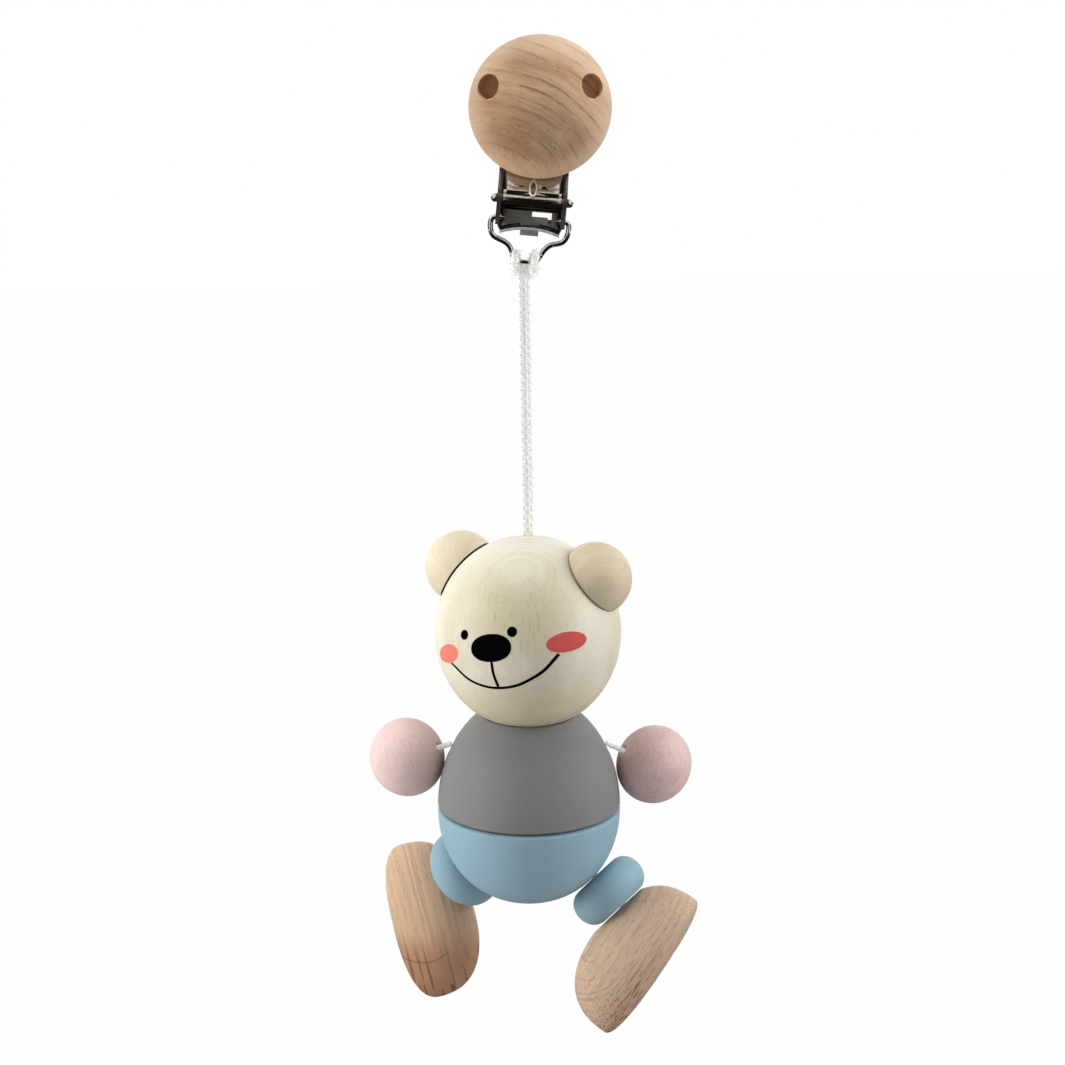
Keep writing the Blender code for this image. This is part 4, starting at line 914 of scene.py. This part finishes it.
# The right hand's tones are darker copies of the left's: painted shade where the body keeps the strong light
# off it.
HANDS = (("left", -1.0, (-0.00976, 0.0034, -0.0042), (tone(238, 212, 206), tone(216, 184, 180))),
         ("right", 1.0, (0.01056, 0.0029, -0.0060), (tone(226, 198, 193), tone(196, 162, 158))))
for side, x, away, tones in HANDS:
    mouth = Vector((x * arm_mouth, ARM_BACK, ARM_HEIGHT))
    out = BODY_TURN @ Vector(away).normalized()
    hand_at = axes(BODY @ (mouth + Vector(away)), BODY_Z, out)
    hand = lathe("pink_hand_" + side, hand_profile, hand_at, 96, True)
    hand_grain = grain_at(hand_at.translation, BODY_TURN @ Vector((0.45 * x, 0.1, 1.0)), CLIP_Y)
    pink = painted("pink_stain_" + side, hand_grain, *tones, 0.6, 0.6, 0.35)
    dressed(hand, pink, side + "_hand", "hand_" + side)
    start = BODY @ mouth
    arm = CORD.grow("arm_braid_" + side, [start + out * 0.0004, start + out * 0.0075], Radius=0.0006,
                    Pitch=0.0030, Step=0.00018, Fibres=1.1e6, Fibre_Length=0.0006, Seed=5, Finish=WHITE_CORD)
    dressed(arm, WHITE_CORD, side + "_arm", "arm_cord_" + side)

# Thighs and feet
THIGH_RADIUS = 0.0086
THIGH_HALF = 0.00415
THIGH_BORE = 0.0012
TOE_REACH = 0.0163
HEEL_REACH = 0.0179
FOOT_HALF_WIDTH = 0.0088
FOOT_RISE = 0.01365
SOLE_DROP = 0.0029
SEAT_BACK = 0.0099
SEAT_RISE = 0.0118
BORE_TILT = radians(12.5)
rim = 0.42 * 2.0 * THIGH_HALF
thigh_profile = arc(28, rim, THIGH_HALF, 0.0, pi, (THIGH_RADIUS - rim, 0.0))
thigh_profile += [(THIGH_BORE, -THIGH_HALF), (THIGH_BORE, THIGH_HALF)]
sole_reach = (SEAT_RISE + SOLE_DROP * 0.97) / cos(BORE_TILT)
knot_place = sole_reach - 0.0036
FOOT_CUTTER = [(0.0, 0.0220), (0.0024, 0.0220), (0.0024, knot_place), (THIGH_BORE, knot_place),
               (THIGH_BORE, 0.0), (0.0090, 0.0), (0.0090, -0.0060), (0.0, -0.0060)]


def foot_shape(name, at):
    """A dome over a shallow sole, blunt at the heel; X runs to the toe, Z up."""
    shape = bmesh.new()
    bmesh.ops.create_uvsphere(shape, u_segments=72, v_segments=56, radius=1.0)
    bmesh.ops.rotate(shape, cent=(0.0, 0.0, 0.0), matrix=Matrix.Rotation(pi / 2.0, 3, "Y"), verts=shape.verts)
    for v in shape.verts:
        x = max(-1.0, min(1.0, v.co.x))
        r = sqrt(max(0.0, 1.0 - x * x))
        length, power = (TOE_REACH, 2.45) if x > 0.0 else (-HEEL_REACH, 2.5)
        p = r ** (2.0 / power)
        y = v.co.y / r if r > 0.0001 else 0.0
        z = v.co.z / r if r > 0.0001 else 0.0
        v.co.x = abs(x) ** (2.0 / power) * length + HEEL_REACH
        v.co.y = y * p * FOOT_HALF_WIDTH
        v.co.z = z * p * (FOOT_RISE if z > 0.0 else SOLE_DROP)
    return settle(name, shape, at, 30.0)


def toe_end(mix, q, parts, base):
    """End grain at the left toe: redder below a crisp arc, with dark lines along it."""
    x, y, z = parts
    off = y + 2.7
    edge = x - (off * off * -0.075 + 8.9)
    side = y.ramp(2.5, 0.0)
    rest = mix.math("SUBTRACT", 1.0, side)
    amount = mix.math("MAXIMUM", edge.ramp(-7.5, 1.0) * side, x.ramp(3.0, 14.0) * rest)
    lines = mix.streaks(q, (0.02, 1.15, 0.12), 1.0, move=(2.0, 0.0, 5.0)).ramp(0.54, 0.60)
    below = mix.blend(lines * 0.8, tone(176, 130, 98), tone(116, 72, 44))
    edge_line = abs(edge).ramp(0.28, 0.08) * side
    return mix.layers(base, (x.ramp(-7.0, 11.0, 0.0, 0.6), tone(180, 140, 110)), (amount * 0.9, below),
                      (edge_line * 0.6, tone(120, 74, 44)))


def toe_dashes(mix, q, parts, base):
    """The right toe: arcs at its left, and a crowd of dark dashes at its lower right."""
    x, y, z = parts
    away = mix.length((x - 4.0) * 0.8, y + 8.0)
    arcs = mix.along(away, 0.9, 1.0, 0.5).ramp(0.56, 0.64) * (x.ramp(1.0, 7.0) * y.ramp(2.0, -3.0))
    dashes = mix.streaks(q, (0.30, 3.6, 2.0), 2.0, move=(1.0, 6.0, 3.0)).ramp(0.55, 0.62)
    crowd = x.ramp(-8.0, 10.0) * y.ramp(-3.0, 5.0)
    return mix.layers(base, (arcs * 0.35, tone(140, 106, 78)), (crowd * 0.45, tone(172, 128, 96)),
                      (dashes * (crowd * 0.70 + 0.28) * 0.9, tone(104, 64, 40)))


LEGS = (("left", -1.0, (-0.67, 0.51, -0.55), (0.12, -0.19, -0.88), 0.0004,
         (tone(218, 188, 157), tone(184, 148, 117), tone(130, 90, 60)), (-90.0, 12.0), 0.5, 0.35, toe_end),
        ("right", 1.0, (0.6646, -0.1782, -0.7255), (-0.7475, -0.1661, -0.6439), 0.0006,
         (tone(206, 180, 156), tone(180, 149, 124), tone(128, 92, 66)), (95.0, -8.0), 0.4, 0.4, toe_dashes))
for side, x, direction, toe, offset, tones, pith, rings, flecks, end in LEGS:
    mouth = HIPS @ Vector((x * hip_level, HIP_BACK, -HIP_DROP))
    down = Vector(direction).normalized()
    ahead = Vector(toe)
    ahead = (ahead - down * ahead.dot(down)).normalized()
    thigh_at = axes(mouth + down * (offset + THIGH_HALF), ahead, down)
    thigh = lathe("blue_thigh_" + side, rounded(thigh_profile, 0.0002, 3, True), thigh_at, 96, True)
    thigh_look = painted("blue_thigh_" + side, grain_at(thigh_at.translation, down, ahead), tone(144, 176, 190),
                         tone(134, 164, 176), 0.55, 0.4, 0.12)
    dressed(thigh, thigh_look, side + "_thigh", "thigh_" + side)
    seat = mouth + down * (offset + 2.0 * THIGH_HALF + 0.0003)
    foot_x = down * sin(BORE_TILT) + ahead * cos(BORE_TILT)
    foot_at = axes(seat, foot_x, ahead * sin(BORE_TILT) - down * cos(BORE_TILT))
    foot_at.translation = seat - foot_at.to_3x3() @ Vector((SEAT_BACK, 0.0, SEAT_RISE))
    foot = foot_shape("beech_foot_" + side, foot_at)
    carve(foot, lathe("foot_cutter_" + side, FOOT_CUTTER, axes(seat, ahead, down), 96, sharp=None))
    grain = grain_at(foot_at @ Vector((HEEL_REACH, 0.0, 0.004)), foot_x, foot_x.cross(LOOK))
    foot_look = wood("beech_foot_" + side, grain, tones, pith, 0.9, rings, flecks, 0.45, 1.2, end)
    dressed(foot, foot_look, side + "_foot", "foot_" + side)

# Cord: two braided strands from the hitch to the head, and the hitch round the bar
hang = HANG_TOP - HEAD_TOP
HANG = axes(HANG_TOP, LEVEL, hang.normalized())
for side, x, seed in (("left", -0.5, 11), ("right", 0.5, 12)):
    spread = x * 0.00138
    points = smooth_path([HANG @ Vector((spread, 0.0, -0.0004)), HANG @ Vector((spread, 0.00005, -0.018)),
                          HANG @ Vector((spread, -0.00005, -0.036)),
                          HANG @ Vector((spread, 0.0, -hang.length + 0.0002))], 8)
    strand = CORD.grow("cord_braid_" + side, points, Radius=0.00078, Pitch=0.0036, Step=0.00018, Fibres=1.2e6,
                       Fibre_Length=0.0007, Seed=seed, Finish=WHITE_CORD)
    dressed(strand, WHITE_CORD, "cord", "hanging_strand_" + side)
    run = sum((b - a).length for a, b in zip(points, points[1:]))

WRAP = ((0.00069, 0.0, -0.0033), (0.00069, 0.0, -0.0024), (0.00078, 0.0004, -0.0016),
        (0.0011, 0.0014, -0.0011), (0.0016, 0.0018, 0.0), (0.00195, 0.0013, 0.0012),
        (0.00205, -0.0003, 0.0016), (0.00205, -0.0016, 0.0008), (0.002, -0.0017, -0.0006),
        (0.0019, -0.001, -0.0017), (0.0018, 0.0004, -0.0022), (0.0014, 0.0018, -0.0024),
        (0.0008, 0.0028, -0.0022), (0.0, 0.003, -0.0021))
shift = (HITCH.inverted() @ HANG_TOP).x
one_half, other_half = [[Vector((sign * x + shift, y, z)) for x, y, z in WRAP] for sign in (1.0, -1.0)]
hitch_path = [HITCH @ p for p in smooth_path(one_half + other_half[-2::-1], 6)]
hitch = CORD.grow("hitch_braid", hitch_path, Radius=0.00088, Pitch=0.0036, Step=0.00016, Fibres=9.0e6,
                  Fibre_Length=0.0010, Seed=21, Finish=WHITE_CORD)
dressed(hitch, WHITE_CORD, "loop", "cord_hitch")


# Clip metal
def polished(node, name, look, body, width):
    """A solid of the clip as a finished piece: its flats merged and its edges eased."""
    shape = bmesh.new()
    shape.from_mesh(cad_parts[node].data)
    bmesh.ops.remove_doubles(shape, verts=shape.verts, dist=0.000002)
    bmesh.ops.dissolve_limit(shape, angle_limit=radians(1.0), verts=shape.verts, edges=shape.edges)
    piece = settle(name, shape)
    ease = piece.modifiers.new("ease", "BEVEL")
    ease.width = width
    ease.segments = 2
    ease.limit_method = "ANGLE"
    ease.angle_limit = radians(38.0)
    bake(piece, 32.0)
    dressed(piece, look, body, node)


polished("base_plate", "nickel_base", BASE_NICKEL, "clip", 0.00012)
polished("lever_plate", "nickel_lever", LEVER_NICKEL, "lever", 0.00012)
polished("jaw_leaf", "nickel_leaf", LEAF_NICKEL, "jaw", 0.00012)
polished("grip_pad", "plastic_pad", PAD_PLASTIC, "jaw", 0.00008)
polished("disc_screw_lower", "zinc_screw_lower", ZINC, "lever", 0.00008)
polished("disc_screw_upper", "zinc_screw_upper", ZINC, "lever", 0.00008)

pin_profile = arc(10, 0.00095, 0.00105, 0.0, pi / 2.0, (0.0, 0.00755)) + [(0.0009, 0.00745)]
pin_profile += [(r, -z) for r, z in reversed(pin_profile)]
dressed(lathe("nickel_pin", pin_profile, axes(PIN, CLIP_Y, CLIP_X), 48), NICKEL, "clip", "hinge_pin")

SHOULDER = ((0.0054, 0.0), (0.0066, 0.0), (0.0073, 0.0), (0.0078, -0.0002), (0.0081, -0.0008))
LOOP_LEFT = SHOULDER + (
    (0.0082, -0.0018), (0.0080, -0.0029), (0.0074, -0.0039), (0.0063, -0.0045), (0.0050, -0.0050),
    (0.0039, -0.0058), (0.0032, -0.0072), (0.0029, -0.0083), (0.0023, -0.0089))
LOOP_RIGHT = SHOULDER + (
    (0.0081, -0.0019), (0.0078, -0.0031), (0.0071, -0.0041), (0.0060, -0.0046), (0.0046, -0.0050),
    (0.0035, -0.0060), (0.0027, -0.0073), (0.0022, -0.0082), (0.0016, -0.0089))
wire_path = [LOOP @ p for p in smooth_path([(x, 0.0, z) for x, z in LOOP_RIGHT], 8)]
wire_path += [LOOP @ p for p in reversed(smooth_path([(-x, 0.0, z) for x, z in LOOP_LEFT], 8))]
dressed(WIRE.grow("nickel_loop", wire_path, Radius=0.000575, Finish=NICKEL), NICKEL, "loop", "wire_loop")

# The pieces that keep their own solids
KEPT = {"end_knot": WHITE_CORD, "arm_cord": WHITE_CORD, "hip_elastic": WHITE_CORD}
for side, x in SIDES:
    KEPT["ear_dowel_" + side] = BEECH_DISC
    for kind in ("head_strand_", "body_strand_", "hand_knot_", "leg_cord_", "foot_knot_"):
        KEPT[kind + side] = WHITE_CORD
for node, look in KEPT.items():
    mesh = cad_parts[node].data
    mesh.materials.clear()
    mesh.materials.append(look)

# Floor, background and light
CAMERA_RAY = ("Is Camera Ray",)
CLEAR_RAYS = CAMERA_RAY + ("Is Glossy Ray", "Is Transmission Ray")
WHITE = (1.0, 1.0, 1.0, 1.0)
DARK_CARD = (0.012, 0.010, 0.009, 1.0)


def backing(name, place, size, shade, shown):
    """A flat of the studio: white to the camera; the dark cards show only in reflections."""
    shape = bmesh.new()
    bmesh.ops.create_grid(shape, x_segments=1, y_segments=1, size=1.0)
    flat = settle(name, shape, place @ Matrix.Diagonal((size[0] / 2.0, size[1] / 2.0, 1.0, 1.0)))
    mix = Mix(name)
    mix.set("Base Color", shade)
    mix.set("Roughness", 0.9)
    mix.set("Specular IOR Level", 0.0)
    seen = mix.seen_by(*(CLEAR_RAYS if shown < 1.0 else CAMERA_RAY))
    glow = mix.node("Emission", 0, {"Color": WHITE})
    both = mix.node("MixShader", 0, {0: seen * shown, 1: Field(mix, mix.shader.outputs[0]), 2: glow})
    mix.put(mix.tree.nodes["Material Output"].inputs["Surface"], both)
    flat.data.materials.append(mix.material)
    if shown == 1.0:
        flat.visible_camera = flat.visible_diffuse = flat.visible_transmission = flat.visible_shadow = False


backing("floor", Matrix.Translation((0.0, 0.0, -0.32)), (6.0, 6.0), (0.55, 0.55, 0.55, 1.0), 0.985)
backing("card_behind_camera", axes((0.0, -1.15, -0.15), LEVEL, CLIP_Y), (1.0, 1.3), DARK_CARD, 1.0)
backing("card_below_camera", Matrix.Translation((0.0, -0.30, -0.315)), (1.6, 1.9), DARK_CARD, 1.0)
for side, x in SIDES:
    backing("card_" + side, axes((x * 1.3, 0.1, 0.05), CLIP_Y, (x, 0.0, 0.0)), (1.7, 0.8), DARK_CARD, 1.0)
scene.world = bpy.data.worlds.new("studio")
scene.world.use_nodes = True
sky = Nodes(scene.world.node_tree)
shade = sky.node("Mix", "Result", {
    "Factor": sky.seen_by(*CLEAR_RAYS), "A": (0.40, 0.40, 0.41, 1.0), "B": WHITE}, data_type="RGBA")
sky.put(sky.tree.nodes["Background"].inputs["Color"], shade)


def lamp(name, place, power):
    """A round lamp that shines on the middle of the toy."""
    data = bpy.data.lights.new(name, "AREA")
    data.shape = "DISK"
    data.size = 0.5
    data.energy = power
    made = linked(name, data)
    made.location = place
    made.rotation_mode = "QUATERNION"
    made.rotation_quaternion = (Vector((0.0, 0.0, -0.09)) - Vector(place)).to_track_quat("-Z", "Y")
    made.visible_camera = made.visible_glossy = False


lamp("key_left", (-0.75, -0.10, 0.00), 5.3)
lamp("side_right", (0.75, -0.08, 0.12), 4.0)
lamp("top", (0.0, -0.15, 0.75), 3.4)
scene.view_settings.view_transform = "Standard"
